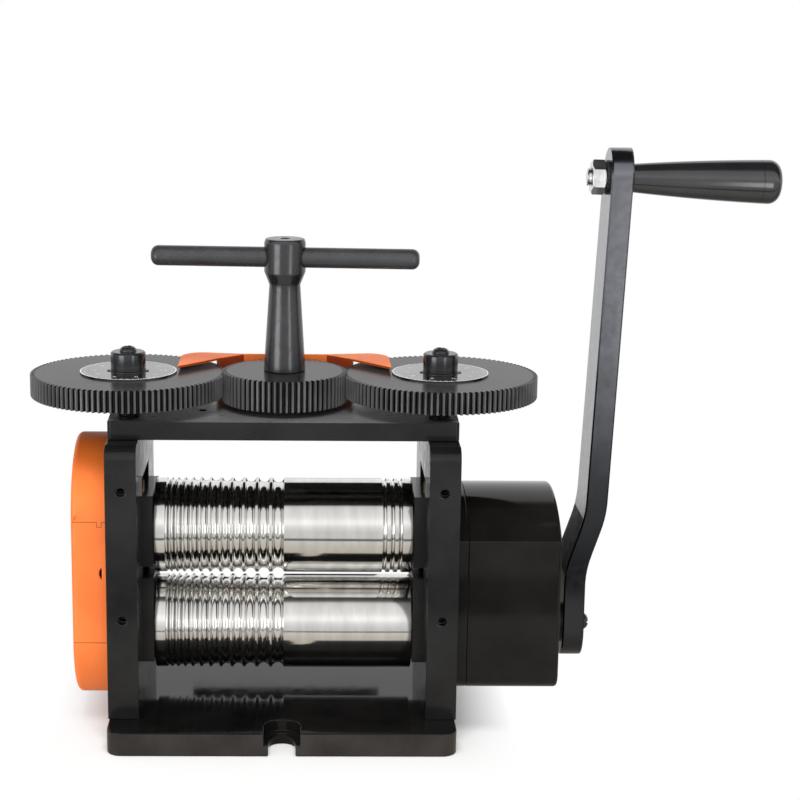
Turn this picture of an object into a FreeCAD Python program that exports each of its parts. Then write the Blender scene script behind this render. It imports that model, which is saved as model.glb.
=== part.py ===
import FreeCAD
import Part
import math
import os

Vector = FreeCAD.Vector

# Hand cranked rolling mill. Lengths are in millimetres and angles in degrees.
# The origin is the middle of the base's underside. X runs along the rolls
# towards the crank, -Y faces the user and Z is up.

# Fits and gaps
shaft_clearance = 0.04  # radial, a shaft that turns in its bore
hole_clearance = 0.05  # radial, a screw, pin or key in its hole
slide_clearance = 0.05  # each side, a bearing block in its window
turning_gap = 0.3  # between faces that turn past each other
gear_backlash = 0.14  # each gear's teeth are this much thinner
gear_dedendum = 1.25  # depth of a gear's roots below its pitch line, in modules
pressure_angle = 20.0

# Base plate
base_inset = 0.5  # the side plates stand this far past the base's ends
base_depth = 155.0
base_thickness = 13.0
base_corner = 8.0
slot_width = 14.4
slot_reach = 17.4
slot_recess_width = 19.3
slot_recess_depth = 6.5

# Side plates
side_offset = 0.25  # middle of each side plate, inside the pressure screw's axis
side_thickness = 16.5
side_depth = 116.0
side_corner = 7.5
side_web = 26.0  # solid height above the bearing window
front_hole_radius = 2.75
front_hole_depth = 20.0
front_hole_rise = 54.8
front_hole_spacing = 70.1

# Top plate
top_rear = 3.0  # plate that shows behind the gear guard
top_thickness = 10.0
top_corner = 1.5
oil_hole_radius = 2.0
oil_hole_depth = 6.0
oil_hole_x = -44.1
oil_hole_y = -11.3

# Rolls
roll_radius = 26.0
roll_end_gap = 5.9  # from each end of a roll to the side plate
roll_axis = 49.4  # height of the lower roll's axis
roll_opening = 3.3  # gap between the rolls as the mill stands
roll_edge = 0.6
journal_radius = 13.0
journal_end = 1.0  # the right journals stop this far inside the plate's outer face
seat_radius = 9.0
groove_count = 12
groove_margin = 7.25  # from the roll's left end to the first groove
groove_pitch = 3.1  # from the first groove to the second
groove_growth = 0.475  # each pitch is this much wider than the last
groove_fill = 0.78  # share of the pitch that is cut away
groove_angle = 100.0
round_groove_count = 3
round_groove_margin = 6.9
round_groove_pitch = 4.3
round_groove_radius = 1.2

# Bearings
block_width = 44.0
lower_block_drop = 16.9  # below the lower roll's axis
lower_block_rise = 30.9
upper_block_drop = 17.9
upper_block_rise = 22.0
block_headroom = 9.3  # from the upper block to the top of its window
bush_wall = 2.0
pad_radius = 7.8
pad_thickness = 3.0
spring_offset = 17.0
spring_radius = 3.8
spring_wire = 1.5
spring_turns = 4.5
spring_pocket = 5.5
spring_clearance = 0.4

# Roll gears and what holds them
roll_gear_module = 4.0
roll_gear_teeth = 13
roll_gear_addendum = 1.25
roll_gear_thinning = 0.2
roll_gear_width = 14.0
roll_gear_standoff = 2.0
roll_gear_recess = 4.5
roll_gear_recess_radius = 12.0
key_width = 5.0
key_depth = 2.5  # into the shaft, and as much into the gear
roll_washer_radius = 10.5
roll_washer_thickness = 1.5
roll_bolt_radius = 4.0
roll_bolt_head_radius = 6.5
roll_bolt_head_height = 3.4
roll_bolt_length = 16.0

# Left gear cover
cover_radius = 39.5
cover_height = 67.4  # between the centres of the two round ends
cover_width = 20.4
cover_wall = 1.5
cover_edge = 3.0
cover_slot_radius = 4.8
cover_slot_start = 0.6  # slot circle's centre from the open rim
cover_slot_end = 4.1
cover_slot_rise = 38.8
cover_post_radius = 4.5
cover_post_stub_radius = 2.5
cover_post_stub_length = 8.0
cover_post_offset = 28.0
cover_post_rise = 26.1
cover_screw_radius = 2.0
cover_screw_length = 9.0
cover_screw_head_radius = 3.5
cover_screw_head_height = 1.4

# Gearbox on the crank side
box_half_width = 50.0
box_drop = 22.9  # below the roll axis
box_top_radius = 78.6
box_corner = 9.0
box_length = 49.6
box_wall = 3.5
box_edge = 2.0
box_plate_thickness = 5.7
box_pillar_radius = 6.5
box_screw_offset = 42.0
box_screw_drop = 15.4
box_screw_rise = 50.6
box_screw_radius = 2.5
box_screw_head_radius = 4.25
box_screw_head_height = 5.0
box_screw_recess = 5.3
box_screw_grip = 14.0  # length in the side plate
box_boss_radius = 15.0
box_boss_start = 32.0  # from the gearbox plate to the inside end of the boss
lay_boss_radius = 10.0
lay_boss_start = 38.5
lay_hole_floor = 2.0

# Gear train between the crank and the lower roll
neck_radius = 11.0
neck_end = 8.0  # shoulder for the output gear, outside the side plate
neck_clearance = 1.0
output_gear_module = 2.0
output_gear_teeth = 17
output_gear_width = 12.0
output_addendum = 0.95
lay_pinion_teeth = 13
lay_pinion_start = 7.5
lay_pinion_width = 13.0
crank_gear_module = 1.5
crank_pinion_teeth = 12
lay_gear_teeth = 28
lay_gear_addendum = 0.8
crank_pinion_start = 25.0
crank_pinion_width = 12.0
lay_gear_start = 25.5
lay_gear_width = 11.0
lay_radius = 6.0
lay_seat_radius = 8.0
lay_collar_radius = 11.0
lay_start = 2.0
lay_end_gap = 0.3

# Crank
crank_radius = 8.0
crank_bush_wall = 3.0
pilot_radius = 4.0
pilot_depth = 10.0
pilot_length = 9.0
crank_collar_radius = 11.5
crank_collar_gap = 0.7
crank_collar_length = 5.4
crank_square = 14.0
crank_square_slack = 0.3
crank_throw = 248.8
arm_thickness = 11.7
arm_foot_radius = 18.4
arm_head_radius = 16.1
arm_bend_start = 34.6
arm_bend_end = 65.6
arm_bend_shift = 10.25
arm_lean = 2.4
arm_edge = 0.8
crank_screw_radius = 4.0
crank_screw_length = 20.0
crank_screw_head_radius = 8.0
crank_screw_head_height = 4.3

# Grip
grip_tilt = 1.2
spot_radius = 10.5
spot_depth = 0.25
stud_radius = 5.0
stud_shoulder_radius = 5.5
stud_flange_radius = 6.8
stud_flange_thickness = 1.2
stud_rib_radius = 6.1
stud_rib_width = 2.0
stud_rib_start = 56.0
stud_length = 62.0
stud_thread_end = 11.0  # thread that passes the arm's left face
grip_start_radius = 7.6
grip_middle_radius = 10.4
grip_end_radius = 11.8
grip_middle = 39.0
grip_taper_length = 73.5
grip_nose = 6.3
nut_flats = 16.5
nut_height = 7.4
nut_chamfer = 0.9
nut_chamfer_width = 1.44
thread_chamfer = 0.8
lock_washer_radius = 9.3
lock_washer_thickness = 1.6

# Adjusting gears, dials and pressure screws
adjusting_module = 1.0
adjusting_teeth = 104
centre_teeth = 66
adjusting_gear_lift = 6.9  # above the top plate
adjusting_gear_width = 11.94
centre_gear_width = 16.8
screw_radius = 6.0
screw_flat = 4.8
screw_flange_radius = 9.0
screw_flange_thickness = 2.5
screw_plate_clearance = 1.0
dial_radius = 26.3
dial_thickness = 0.8
collar_radius = 9.5
collar_height = 10.6
collar_foot_radius = 11.2
collar_foot_height = 0.5
collar_roof = 2.7
collar_slack = 0.3
collar_screw_radius = 2.5
collar_screw_length = 12.0
collar_screw_head_radius = 4.6
collar_screw_head_height = 2.9

# Tee handle
post_flange_radius = 13.0
post_flange_thickness = 3.2
post_stub_radius = 8.0
post_radius = 7.0
post_height = 51.0
post_groove = 0.8
hub_spigot_radius = 9.0
hub_spigot_flat = 7.5
hub_foot_radius = 11.36
hub_waist_radius = 8.37
hub_waist_rise = 47.1
hub_head_rise = 54.2
hub_head_radius = 11.2
hub_top_rise = 72.0
hub_top_chamfer = 2.3
hub_top_radius = 10.5
hub_bore_extra = 3.0  # the hub's bore goes this far past the post
bar_radius = 5.5
bar_length = 145.0
bar_rise = 61.8
bar_turn = -4.0
bar_end_round = 4.0
set_screw_radius = 2.4
set_screw_length = 3.4
set_screw_rise = 22.0

# Gear guard
guard_sheet = 1.5
guard_height = 21.9
guard_back = 37.0
guard_back_half = 23.4
guard_front = 25.0
guard_front_half = 37.4
wing_front = 2.0
wing_gap = 0.4
wing_back = 42.0
wing_corner = 12.0
guard_foot_front = 28.0
guard_screw_x = 20.5
guard_screw_y = 32.5
guard_screw_radius = 2.0
guard_screw_length = 8.0
guard_screw_head_radius = 3.4
guard_screw_head_height = 1.6

# Screws through the base and the top plate
base_screw_radius = 4.0
base_screw_offset = 40.0
base_screw_length = 20.0
base_screw_head_radius = 6.5
base_screw_head_height = 8.0
top_screw_radius = 4.0
top_screw_offset = 28.0
top_screw_length = 30.0
top_screw_head_radius = 7.6
top_screw_head_height = 4.0

# Places that several pieces share
gear_centres = adjusting_module * (adjusting_teeth + centre_teeth) / 2
side_middle = gear_centres - side_offset
side_inner = side_middle - side_thickness / 2
side_outer = side_middle + side_thickness / 2
roll_length = 2 * (side_inner - roll_end_gap)
base_length = 2 * (side_outer - base_inset)
top_length = 2 * side_outer
top_depth = 2 * (guard_back + top_rear)
window_half = block_width / 2 + slide_clearance
window_bottom = roll_axis - lower_block_drop
lower_block_top = roll_axis + lower_block_rise
block_inner = roll_length / 2 + turning_gap
bush_radius = journal_radius + bush_wall
upper_axis = roll_axis + 2 * roll_radius + roll_opening
upper_block_bottom = upper_axis - upper_block_drop
pad_bottom = upper_axis + upper_block_rise
window_top = pad_bottom + block_headroom
side_top = window_top + side_web
top_surface = side_top + top_thickness
screw_bottom = pad_bottom + pad_thickness
spring_bottom = lower_block_top - spring_pocket
spring_top = upper_block_bottom + spring_pocket
gear_bottom = top_surface + adjusting_gear_lift
gear_top = gear_bottom + adjusting_gear_width
collar_bottom = gear_top + dial_thickness
collar_top = collar_bottom + collar_height
post_flange_top = top_surface + post_flange_thickness
centre_gear_bottom = post_flange_top + turning_gap
hub_bottom = centre_gear_bottom + centre_gear_width
post_top = post_flange_top + post_height
guard_top = top_surface + guard_height
wing_bottom = guard_top - guard_sheet
wing_half = gear_centres - dial_radius - wing_gap
roll_gear_inner = side_outer + roll_gear_standoff
roll_gear_outer = roll_gear_inner + roll_gear_width
recess_floor = roll_gear_outer - roll_gear_recess
cover_outer = side_outer + cover_width
cover_post_z = roll_axis + cover_post_rise
box_start = side_outer + box_plate_thickness
box_outer = box_start + box_length
box_inner = box_outer - box_wall
lay_axis = roll_axis + output_gear_module * (lay_pinion_teeth + output_gear_teeth) / 2
output_start = side_outer + neck_end
output_end = output_start + output_gear_width
crank_start = output_end + turning_gap
arm_left = box_outer + crank_collar_gap + crank_collar_length
arm_right = arm_left + arm_thickness
pivot_z = roll_axis + crank_throw
pivot_rise = crank_throw - arm_bend_end
pivot_x = (arm_left + arm_thickness / 2 + arm_bend_shift
           + pivot_rise * math.tan(math.radians(arm_lean)))
arm_face = arm_thickness / 2 - spot_depth


def at(axis, along, first=0.0, second=0.0):
    # First and second are Y and Z round X, X and Z round Y, and X and Y round Z.
    if axis == "x":
        return Vector(along, first, second)
    if axis == "y":
        return Vector(first, along, second)
    return Vector(first, second, along)


def block(x_start, x_end, y_start, y_end, z_start, z_end):
    corner = Vector(x_start, y_start, z_start)
    return Part.makeBox(x_end - x_start, y_end - y_start, z_end - z_start, corner)


def rod(axis, start, end, radius, first=0.0, second=0.0):
    low = min(start, end)
    return Part.makeCylinder(radius, abs(end - start), at(axis, low, first, second), at(axis, 1.0))


def tube(axis, start, end, outer, inner, first=0.0, second=0.0):
    return rod(axis, start, end, outer, first, second).cut(rod(axis, start, end, inner, first, second))


def prism(axis, start, end, points):
    corners = [at(axis, start, *point) for point in points]
    face = Part.Face(Part.makePolygon(corners + corners[:1]))
    return face.extrude(at(axis, end - start))


def revolved(axis, edges, first=0.0, second=0.0):
    face = Part.Face(Part.Wire(edges))
    return face.revolve(at(axis, 0.0, first, second), at(axis, 1.0), 360)


def turned(axis, profile, first=0.0, second=0.0):
    # The profile is a list of places along the axis, each with its radius.
    corners = [at(axis, along, first + radius, second) for along, radius in profile]
    edges = [Part.makeLine(a, b) for a, b in zip(corners, corners[1:] + corners[:1])]
    return revolved(axis, edges, first, second)


def dome(axis, seat, outward, radius, height, first=0.0, second=0.0):
    ball = (radius ** 2 + height ** 2) / (2 * height)
    centre = at(axis, seat + outward * (height - ball), first, second)
    keep = rod(axis, seat, seat + outward * height, radius, first, second)
    return Part.makeSphere(ball, centre).common(keep)


def flat_rod(axis, start, end, radius, flat, first=0.0, second=0.0):
    # A rod with one flat, which faces the second of the two cross directions.
    points = [(first - radius, second - radius), (first + radius, second - radius),
              (first + radius, second + flat), (first - radius, second + flat)]
    return rod(axis, start, end, radius, first, second).common(prism(axis, start, end, points))


def pan_screw(axis, seat, outward, radius, length, head_radius, head_height, first=0.0, second=0.0):
    shank = rod(axis, seat, seat - outward * length, radius, first, second)
    return shank.fuse(dome(axis, seat, outward, head_radius, head_height, first, second))


def cap_screw(axis, seat, outward, radius, length, head_radius, head_height, first=0.0, second=0.0):
    head_end = seat + outward * head_height
    screw = turned(axis, [(seat - outward * length, 0), (seat - outward * length, radius),
                          (seat, radius), (seat, head_radius), (head_end, head_radius),
                          (head_end, 0)], first, second)
    socket = [(first + x, second + y) for x, y in hexagon(radius)]
    return screw.cut(prism(axis, head_end, head_end - outward * head_height / 2, socket))


def hexagon(flat_radius):
    corner = flat_radius / math.cos(math.radians(30))
    angles = [math.radians(60 * step) for step in range(6)]
    return [(corner * math.sin(angle), corner * math.cos(angle)) for angle in angles]


def gear(axis, start, end, module, teeth, phase, addendum=1.0, thinning=gear_backlash,
         steps=3, first=0.0, second=0.0):
    # An external gear with involute flanks. The phase is the angle of one tooth.
    pitch = module * teeth / 2
    base = pitch * math.cos(math.radians(pressure_angle))
    root = pitch - gear_dedendum * module
    tip = pitch + addendum * module

    def roll_angle(radius):
        tangent = math.acos(base / max(radius, base))
        return math.tan(tangent) - tangent

    half = math.pi / (2 * teeth) - thinning / (2 * pitch) + roll_angle(pitch)
    inner = max(root, min(base, pitch))
    radii = [inner + (tip - inner) * step / steps for step in range(steps + 1)]
    if inner > root:
        radii.insert(0, root)
    points = []
    for tooth in range(teeth):
        middle = math.radians(phase) + 2 * math.pi * tooth / teeth
        flank = [(radius, half - roll_angle(radius)) for radius in radii]
        spots = [(radius, middle - turn) for radius, turn in flank]
        spots += [(radius, middle + turn) for radius, turn in reversed(flank)]
        points += [(first + radius * math.cos(angle), second + radius * math.sin(angle))
                   for radius, angle in spots]
    return prism(axis, start, end, points)


def both_sides(make):
    return Part.makeCompound([make(-1), make(1)])


def corners_of(half_x, half_y):
    return [(-half_x, -half_y), (half_x, -half_y), (-half_x, half_y), (half_x, half_y)]


def upright_edges(shape):
    return [edge for edge in shape.Edges
            if abs(edge.Vertexes[0].X - edge.Vertexes[-1].X) < 1e-6
            and abs(edge.Vertexes[0].Y - edge.Vertexes[-1].Y) < 1e-6]


def edges_at_x(shape, x):
    return [edge for edge in shape.Edges
            if all(abs(vertex.X - x) < 1e-6 for vertex in edge.Vertexes)]


def make_base():
    plate = block(-base_length / 2, base_length / 2, -base_depth / 2, base_depth / 2, 0, base_thickness)
    plate = plate.makeFillet(base_corner, upright_edges(plate))
    for front in (-1, 1):
        edge = front * base_depth / 2
        centre = edge - front * (slot_reach - slot_width / 2)
        for width, floor in ((slot_width, 0), (slot_recess_width, base_thickness - slot_recess_depth)):
            y_start, y_end = sorted((centre, edge))
            cut = block(-width / 2, width / 2, y_start, y_end, floor, base_thickness)
            plate = plate.cut(cut.fuse(rod("z", floor, base_thickness, width / 2, 0, centre)))
    for x, y in corners_of(side_middle, base_screw_offset):
        plate = plate.cut(rod("z", 0, base_thickness, base_screw_radius + hole_clearance, x, y))
        plate = plate.cut(rod("z", 0, base_screw_head_height, base_screw_head_radius + turning_gap, x, y))
    return plate


def make_base_screws():
    return Part.makeCompound([
        cap_screw("z", base_screw_head_height, -1, base_screw_radius, base_screw_length,
                  base_screw_head_radius, base_screw_head_height - turning_gap, x, y)
        for x, y in corners_of(side_middle, base_screw_offset)])


def make_side_plate(side):
    low, high = sorted((side * side_inner, side * side_outer))
    plate = block(low, high, -side_depth / 2, side_depth / 2, base_thickness, side_top)
    top_edges = [edge for edge in edges_along_x(plate) if edge.Vertexes[0].Z > side_top - 1e-6]
    plate = plate.makeFillet(side_corner, top_edges)
    plate = plate.cut(block(low, high, -window_half, window_half, window_bottom, window_top))
    plate = plate.cut(rod("z", window_top, side_top, screw_radius + hole_clearance,
                          side * gear_centres, 0))
    for y in (-1, 1):
        for z in (front_hole_rise, front_hole_rise + front_hole_spacing):
            plate = plate.cut(rod("y", y * side_depth / 2, y * (side_depth / 2 - front_hole_depth),
                                  front_hole_radius, side * side_middle, base_thickness + z))
    for y in (-base_screw_offset, base_screw_offset):
        depth = base_screw_length - (base_thickness - base_screw_head_height)
        plate = plate.cut(rod("z", base_thickness, base_thickness + depth,
                              base_screw_radius + hole_clearance, side * side_middle, y))
    for y in (-top_screw_offset, top_screw_offset):
        depth = top_screw_length - top_thickness
        plate = plate.cut(rod("z", side_top - depth, side_top,
                              top_screw_radius + hole_clearance, side * gear_centres, y))
    if side < 0:
        for y in (-cover_post_offset, cover_post_offset):
            plate = plate.cut(rod("x", -side_outer, -side_outer + cover_post_stub_length,
                                  cover_post_stub_radius + hole_clearance, y, cover_post_z))
    else:
        for y, z in box_screw_places():
            plate = plate.cut(rod("x", side_outer, side_outer - box_screw_grip,
                                  box_screw_radius + hole_clearance, y, z))
    return plate


def edges_along_x(shape):
    return [edge for edge in shape.Edges
            if abs(edge.Vertexes[0].Y - edge.Vertexes[-1].Y) < 1e-6
            and abs(edge.Vertexes[0].Z - edge.Vertexes[-1].Z) < 1e-6]


def make_top_plate():
    plate = block(-top_length / 2, top_length / 2, -top_depth / 2, top_depth / 2, side_top, top_surface)
    plate = plate.makeChamfer(top_corner, upright_edges(plate))
    plate = plate.cut(rod("z", side_top, top_surface, post_stub_radius + hole_clearance))
    plate = plate.cut(rod("z", top_surface - oil_hole_depth, top_surface, oil_hole_radius,
                          oil_hole_x, oil_hole_y))
    for side in (-1, 1):
        plate = plate.cut(rod("z", side_top, top_surface, screw_radius + screw_plate_clearance,
                              side * gear_centres, 0))
        plate = plate.cut(rod("z", top_surface - guard_screw_length + guard_sheet, top_surface,
                              guard_screw_radius + hole_clearance, side * guard_screw_x, guard_screw_y))
    for x, y in corners_of(gear_centres, top_screw_offset):
        plate = plate.cut(top_screw(x, y, hole_clearance))
    return plate


def top_screw(x, y, clearance):
    # A countersunk screw, or with a clearance the hole that it sits in.
    radius = top_screw_radius + clearance
    low = top_surface - top_screw_length
    return turned("z", [(low, 0), (low, radius), (top_surface - top_screw_head_height, radius),
                        (top_surface, top_screw_head_radius), (top_surface, 0)], x, y)


def make_top_screws():
    screws = []
    for x, y in corners_of(gear_centres, top_screw_offset):
        socket = [(x + u, y + v) for u, v in hexagon(top_screw_radius / 2)]
        cut = prism("z", top_surface - top_screw_head_height, top_surface, socket)
        screws.append(top_screw(x, y, 0).cut(cut))
    return Part.makeCompound(screws)


def make_bearing_block(side, axis_z, bottom, top):
    low, high = sorted((side * block_inner, side * side_outer))
    half = block_width / 2
    body = block(low, high, -half, half, bottom, top)
    body = body.cut(rod("x", low, high, bush_radius, 0, axis_z))
    pocket_start = max(bottom, spring_bottom)
    pocket_end = min(top, spring_top)
    for y in (-spring_offset, spring_offset):
        body = body.cut(rod("z", pocket_start, pocket_end, spring_radius + spring_clearance,
                            side * side_middle, y))
    return body


def make_lower_block(side):
    return make_bearing_block(side, roll_axis, window_bottom, lower_block_top)


def make_upper_block(side):
    return make_bearing_block(side, upper_axis, upper_block_bottom, pad_bottom)


def make_bush(side, axis_z):
    return tube("x", side * block_inner, side * side_outer, bush_radius,
                journal_radius + shaft_clearance, 0, axis_z)


def make_springs():
    height = spring_top - spring_bottom - spring_wire
    middle = spring_radius - spring_wire / 2
    springs = []
    for x, y in corners_of(side_middle, spring_offset):
        path = Part.makeHelix(height / spring_turns, height, middle)
        half = spring_wire / 2
        section = Part.makePolygon([Vector(middle + u * half, 0, v * half)
                                    for u, v in ((-1, -1), (1, -1), (1, 1), (-1, 1), (-1, -1))])
        coil = Part.Wire(path).makePipeShell([section], True, True)
        coil.translate(Vector(x, y, spring_bottom + half))
        springs.append(coil)
    return Part.makeCompound(springs)


def groove_places():
    places = []
    centre = -roll_length / 2 + groove_margin
    pitch = groove_pitch
    for _ in range(groove_count):
        width = groove_fill * (pitch - groove_growth / 2)
        places.append((centre, width))
        centre += pitch
        pitch += groove_growth
    return places


def make_roll(axis_z, tail, tail_grooves):
    # The tail is the profile past the right end of the roll's body.
    end = roll_length / 2
    seat_end = recess_floor - turning_gap
    profile = [(-seat_end, 0), (-seat_end, seat_radius), (-roll_gear_inner, seat_radius),
               (-roll_gear_inner, journal_radius), (-end, journal_radius),
               (-end, roll_radius - roll_edge), (-end + roll_edge, roll_radius)]
    for centre, width in groove_places():
        depth = width / 2 / math.tan(math.radians(groove_angle / 2))
        profile += [(centre - width / 2, roll_radius), (centre, roll_radius - depth),
                    (centre + width / 2, roll_radius)]
    profile += [(end - roll_edge, roll_radius), (end, roll_radius - roll_edge), (end, journal_radius)]
    roll = turned("x", profile + tail, 0, axis_z)
    for step in range(round_groove_count if tail_grooves else 0):
        x = end - round_groove_margin - step * round_groove_pitch
        centre = Vector(x, 0, axis_z)
        roll = roll.cut(Part.makeTorus(roll_radius, round_groove_radius, centre, Vector(1, 0, 0)))
    roll = roll.cut(rod("x", -seat_end, -seat_end + roll_bolt_length, roll_bolt_radius + hole_clearance,
                        0, axis_z))
    return roll.cut(key_space(-seat_end, -roll_gear_inner, axis_z))


def key_space(start, end, axis_z, clearance=0.0):
    half = key_width / 2 + clearance
    return block(start, end, -half, half, axis_z + seat_radius - key_depth,
                 axis_z + seat_radius + key_depth + clearance)


def make_lower_roll():
    neck_start = side_outer - journal_end
    tail = [(neck_start, journal_radius), (neck_start, neck_radius), (output_start, neck_radius),
            (output_start, seat_radius), (output_end, seat_radius), (output_end, 0)]
    roll = make_roll(roll_axis, tail, False)
    roll = roll.cut(rod("x", output_end, output_end - pilot_depth, pilot_radius + shaft_clearance,
                        0, roll_axis))
    return roll.cut(key_space(output_start, output_end, roll_axis))


def make_upper_roll():
    stop = side_outer - journal_end
    return make_roll(upper_axis, [(stop, journal_radius), (stop, 0)], True)


def make_roll_gear(axis_z, phase):
    body = gear("x", -roll_gear_outer, -roll_gear_inner, roll_gear_module, roll_gear_teeth, phase,
                roll_gear_addendum, roll_gear_thinning, 4, 0, axis_z)
    body = body.cut(rod("x", -roll_gear_outer, -roll_gear_inner, seat_radius, 0, axis_z))
    body = body.cut(rod("x", -roll_gear_outer, -recess_floor, roll_gear_recess_radius, 0, axis_z))
    return body.cut(key_space(-recess_floor, -roll_gear_inner, axis_z))


def make_roll_washer(axis_z):
    return tube("x", -recess_floor, -recess_floor - roll_washer_thickness, roll_washer_radius,
                roll_bolt_radius + hole_clearance, 0, axis_z)


def make_roll_bolt(axis_z):
    seat = -recess_floor - roll_washer_thickness
    return cap_screw("x", seat, -1, roll_bolt_radius, roll_bolt_length, roll_bolt_head_radius,
                     roll_bolt_head_height, 0, axis_z)


def cover_outline(inset):
    # The round-ended outline of the gear cover, moved in by the inset.
    radius = cover_radius - inset
    low = roll_axis
    high = roll_axis + cover_height
    x = -side_outer
    right = Part.makeLine(Vector(x, radius, low), Vector(x, radius, high))
    top = Part.Arc(Vector(x, radius, high), Vector(x, 0, high + radius),
                   Vector(x, -radius, high)).toShape()
    left = Part.makeLine(Vector(x, -radius, high), Vector(x, -radius, low))
    bottom = Part.Arc(Vector(x, -radius, low), Vector(x, 0, low - radius),
                      Vector(x, radius, low)).toShape()
    return Part.Face(Part.Wire([right, top, left, bottom]))


def make_gear_cover():
    body = cover_outline(0).extrude(Vector(-cover_width, 0, 0))
    body = body.makeFillet(cover_edge, edges_at_x(body, -cover_outer))
    room = cover_outline(cover_wall).extrude(Vector(-(cover_width - cover_wall), 0, 0))
    room = room.makeFillet(cover_edge - cover_wall, edges_at_x(room, -cover_outer + cover_wall))
    body = body.cut(room)
    slot = rod("y", -cover_radius, cover_radius, cover_slot_radius,
               -side_outer - cover_slot_start, roll_axis + cover_slot_rise)
    left_part = block(-cover_outer, -side_outer - cover_slot_end, -cover_radius, cover_radius,
                      roll_axis, roll_axis + cover_height)
    body = body.cut(slot.common(left_part))
    for y in (-cover_post_offset, cover_post_offset):
        body = body.cut(rod("x", -cover_outer, -cover_outer + cover_wall,
                            cover_screw_radius + hole_clearance, y, cover_post_z))
    return body


def make_cover_posts():
    posts = []
    for y in (-cover_post_offset, cover_post_offset):
        end = -cover_outer + cover_wall
        post = rod("x", end, -side_outer, cover_post_radius, y, cover_post_z)
        post = post.fuse(rod("x", -side_outer, -side_outer + cover_post_stub_length,
                             cover_post_stub_radius, y, cover_post_z))
        posts.append(post.cut(rod("x", end, end + cover_screw_length,
                                  cover_screw_radius + hole_clearance, y, cover_post_z)))
    return Part.makeCompound(posts)


def make_cover_screws():
    return Part.makeCompound([
        pan_screw("x", -cover_outer, -1, cover_screw_radius, cover_screw_length,
                  cover_screw_head_radius, cover_screw_head_height, y, cover_post_z)
        for y in (-cover_post_offset, cover_post_offset)])


def box_outline(x, inset):
    # The gearbox seen from the crank: straight sides, a round top and round lower corners.
    half = box_half_width - inset
    low = roll_axis - box_drop + inset
    corner = box_corner - inset
    radius = box_top_radius - inset
    shoulder = roll_axis + math.sqrt(radius ** 2 - half ** 2)
    slant = corner * (1 - math.sqrt(0.5))

    def spot(y, z):
        return Vector(x, y, z)

    edges = [
        Part.makeLine(spot(-half + corner, low), spot(half - corner, low)),
        Part.Arc(spot(half - corner, low), spot(half - slant, low + slant),
                 spot(half, low + corner)).toShape(),
        Part.makeLine(spot(half, low + corner), spot(half, shoulder)),
        Part.Arc(spot(half, shoulder), spot(0, roll_axis + radius), spot(-half, shoulder)).toShape(),
        Part.makeLine(spot(-half, shoulder), spot(-half, low + corner)),
        Part.Arc(spot(-half, low + corner), spot(-half + slant, low + slant),
                 spot(-half + corner, low)).toShape(),
    ]
    return Part.Face(Part.Wire(edges))


def box_screw_places():
    return [(y, z) for y in (-box_screw_offset, box_screw_offset)
            for z in (roll_axis - box_screw_drop, roll_axis + box_screw_rise)]


def make_box_plate():
    plate = box_outline(side_outer, 0).extrude(Vector(box_plate_thickness, 0, 0))
    plate = plate.cut(rod("x", side_outer, box_start, neck_radius + neck_clearance, 0, roll_axis))
    plate = plate.cut(rod("x", side_outer + lay_start - lay_end_gap, box_start,
                          lay_radius + shaft_clearance, 0, lay_axis))
    for y, z in box_screw_places():
        plate = plate.cut(rod("x", side_outer, box_start, box_screw_radius + hole_clearance, y, z))
    return plate


def make_housing():
    body = box_outline(box_start, 0).extrude(Vector(box_length, 0, 0))
    body = body.makeFillet(box_edge, edges_at_x(body, box_outer))
    body = body.cut(box_outline(box_start, box_wall).extrude(Vector(box_length - box_wall, 0, 0)))
    outer = box_outline(box_start, box_edge / 2).extrude(Vector(box_length - box_edge / 2, 0, 0))
    for y, z in box_screw_places():
        body = body.fuse(rod("x", box_start, box_inner, box_pillar_radius, y, z).common(outer))
    body = body.fuse(rod("x", side_outer + box_plate_thickness + box_boss_start, box_inner,
                         box_boss_radius, 0, roll_axis))
    body = body.fuse(rod("x", box_start + lay_boss_start, box_inner, lay_boss_radius, 0, lay_axis))
    body = body.cut(rod("x", box_start, box_outer, crank_radius + crank_bush_wall, 0, roll_axis))
    body = body.cut(rod("x", box_start, box_outer - lay_hole_floor, lay_radius + shaft_clearance,
                        0, lay_axis))
    for y, z in box_screw_places():
        body = body.cut(rod("x", box_start, box_outer, box_screw_radius + hole_clearance, y, z))
        body = body.cut(rod("x", box_outer - box_screw_recess, box_outer,
                            box_screw_head_radius + turning_gap, y, z))
    return body.removeSplitter()


def make_box_screws():
    seat = box_outer - box_screw_recess
    length = seat - side_outer + box_screw_grip
    return Part.makeCompound([
        cap_screw("x", seat, 1, box_screw_radius, length, box_screw_head_radius,
                  box_screw_head_height, y, z) for y, z in box_screw_places()])


def make_crank_bush():
    return tube("x", box_start + box_boss_start, box_outer, crank_radius + crank_bush_wall,
                crank_radius + shaft_clearance, 0, roll_axis)


def make_output_gear():
    body = gear("x", output_start, output_end, output_gear_module, output_gear_teeth,
                90 + 180 / output_gear_teeth, output_addendum, gear_backlash, 3, 0, roll_axis)
    body = body.cut(rod("x", output_start, output_end, seat_radius, 0, roll_axis))
    return body.cut(key_space(output_start, output_end, roll_axis))


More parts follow.
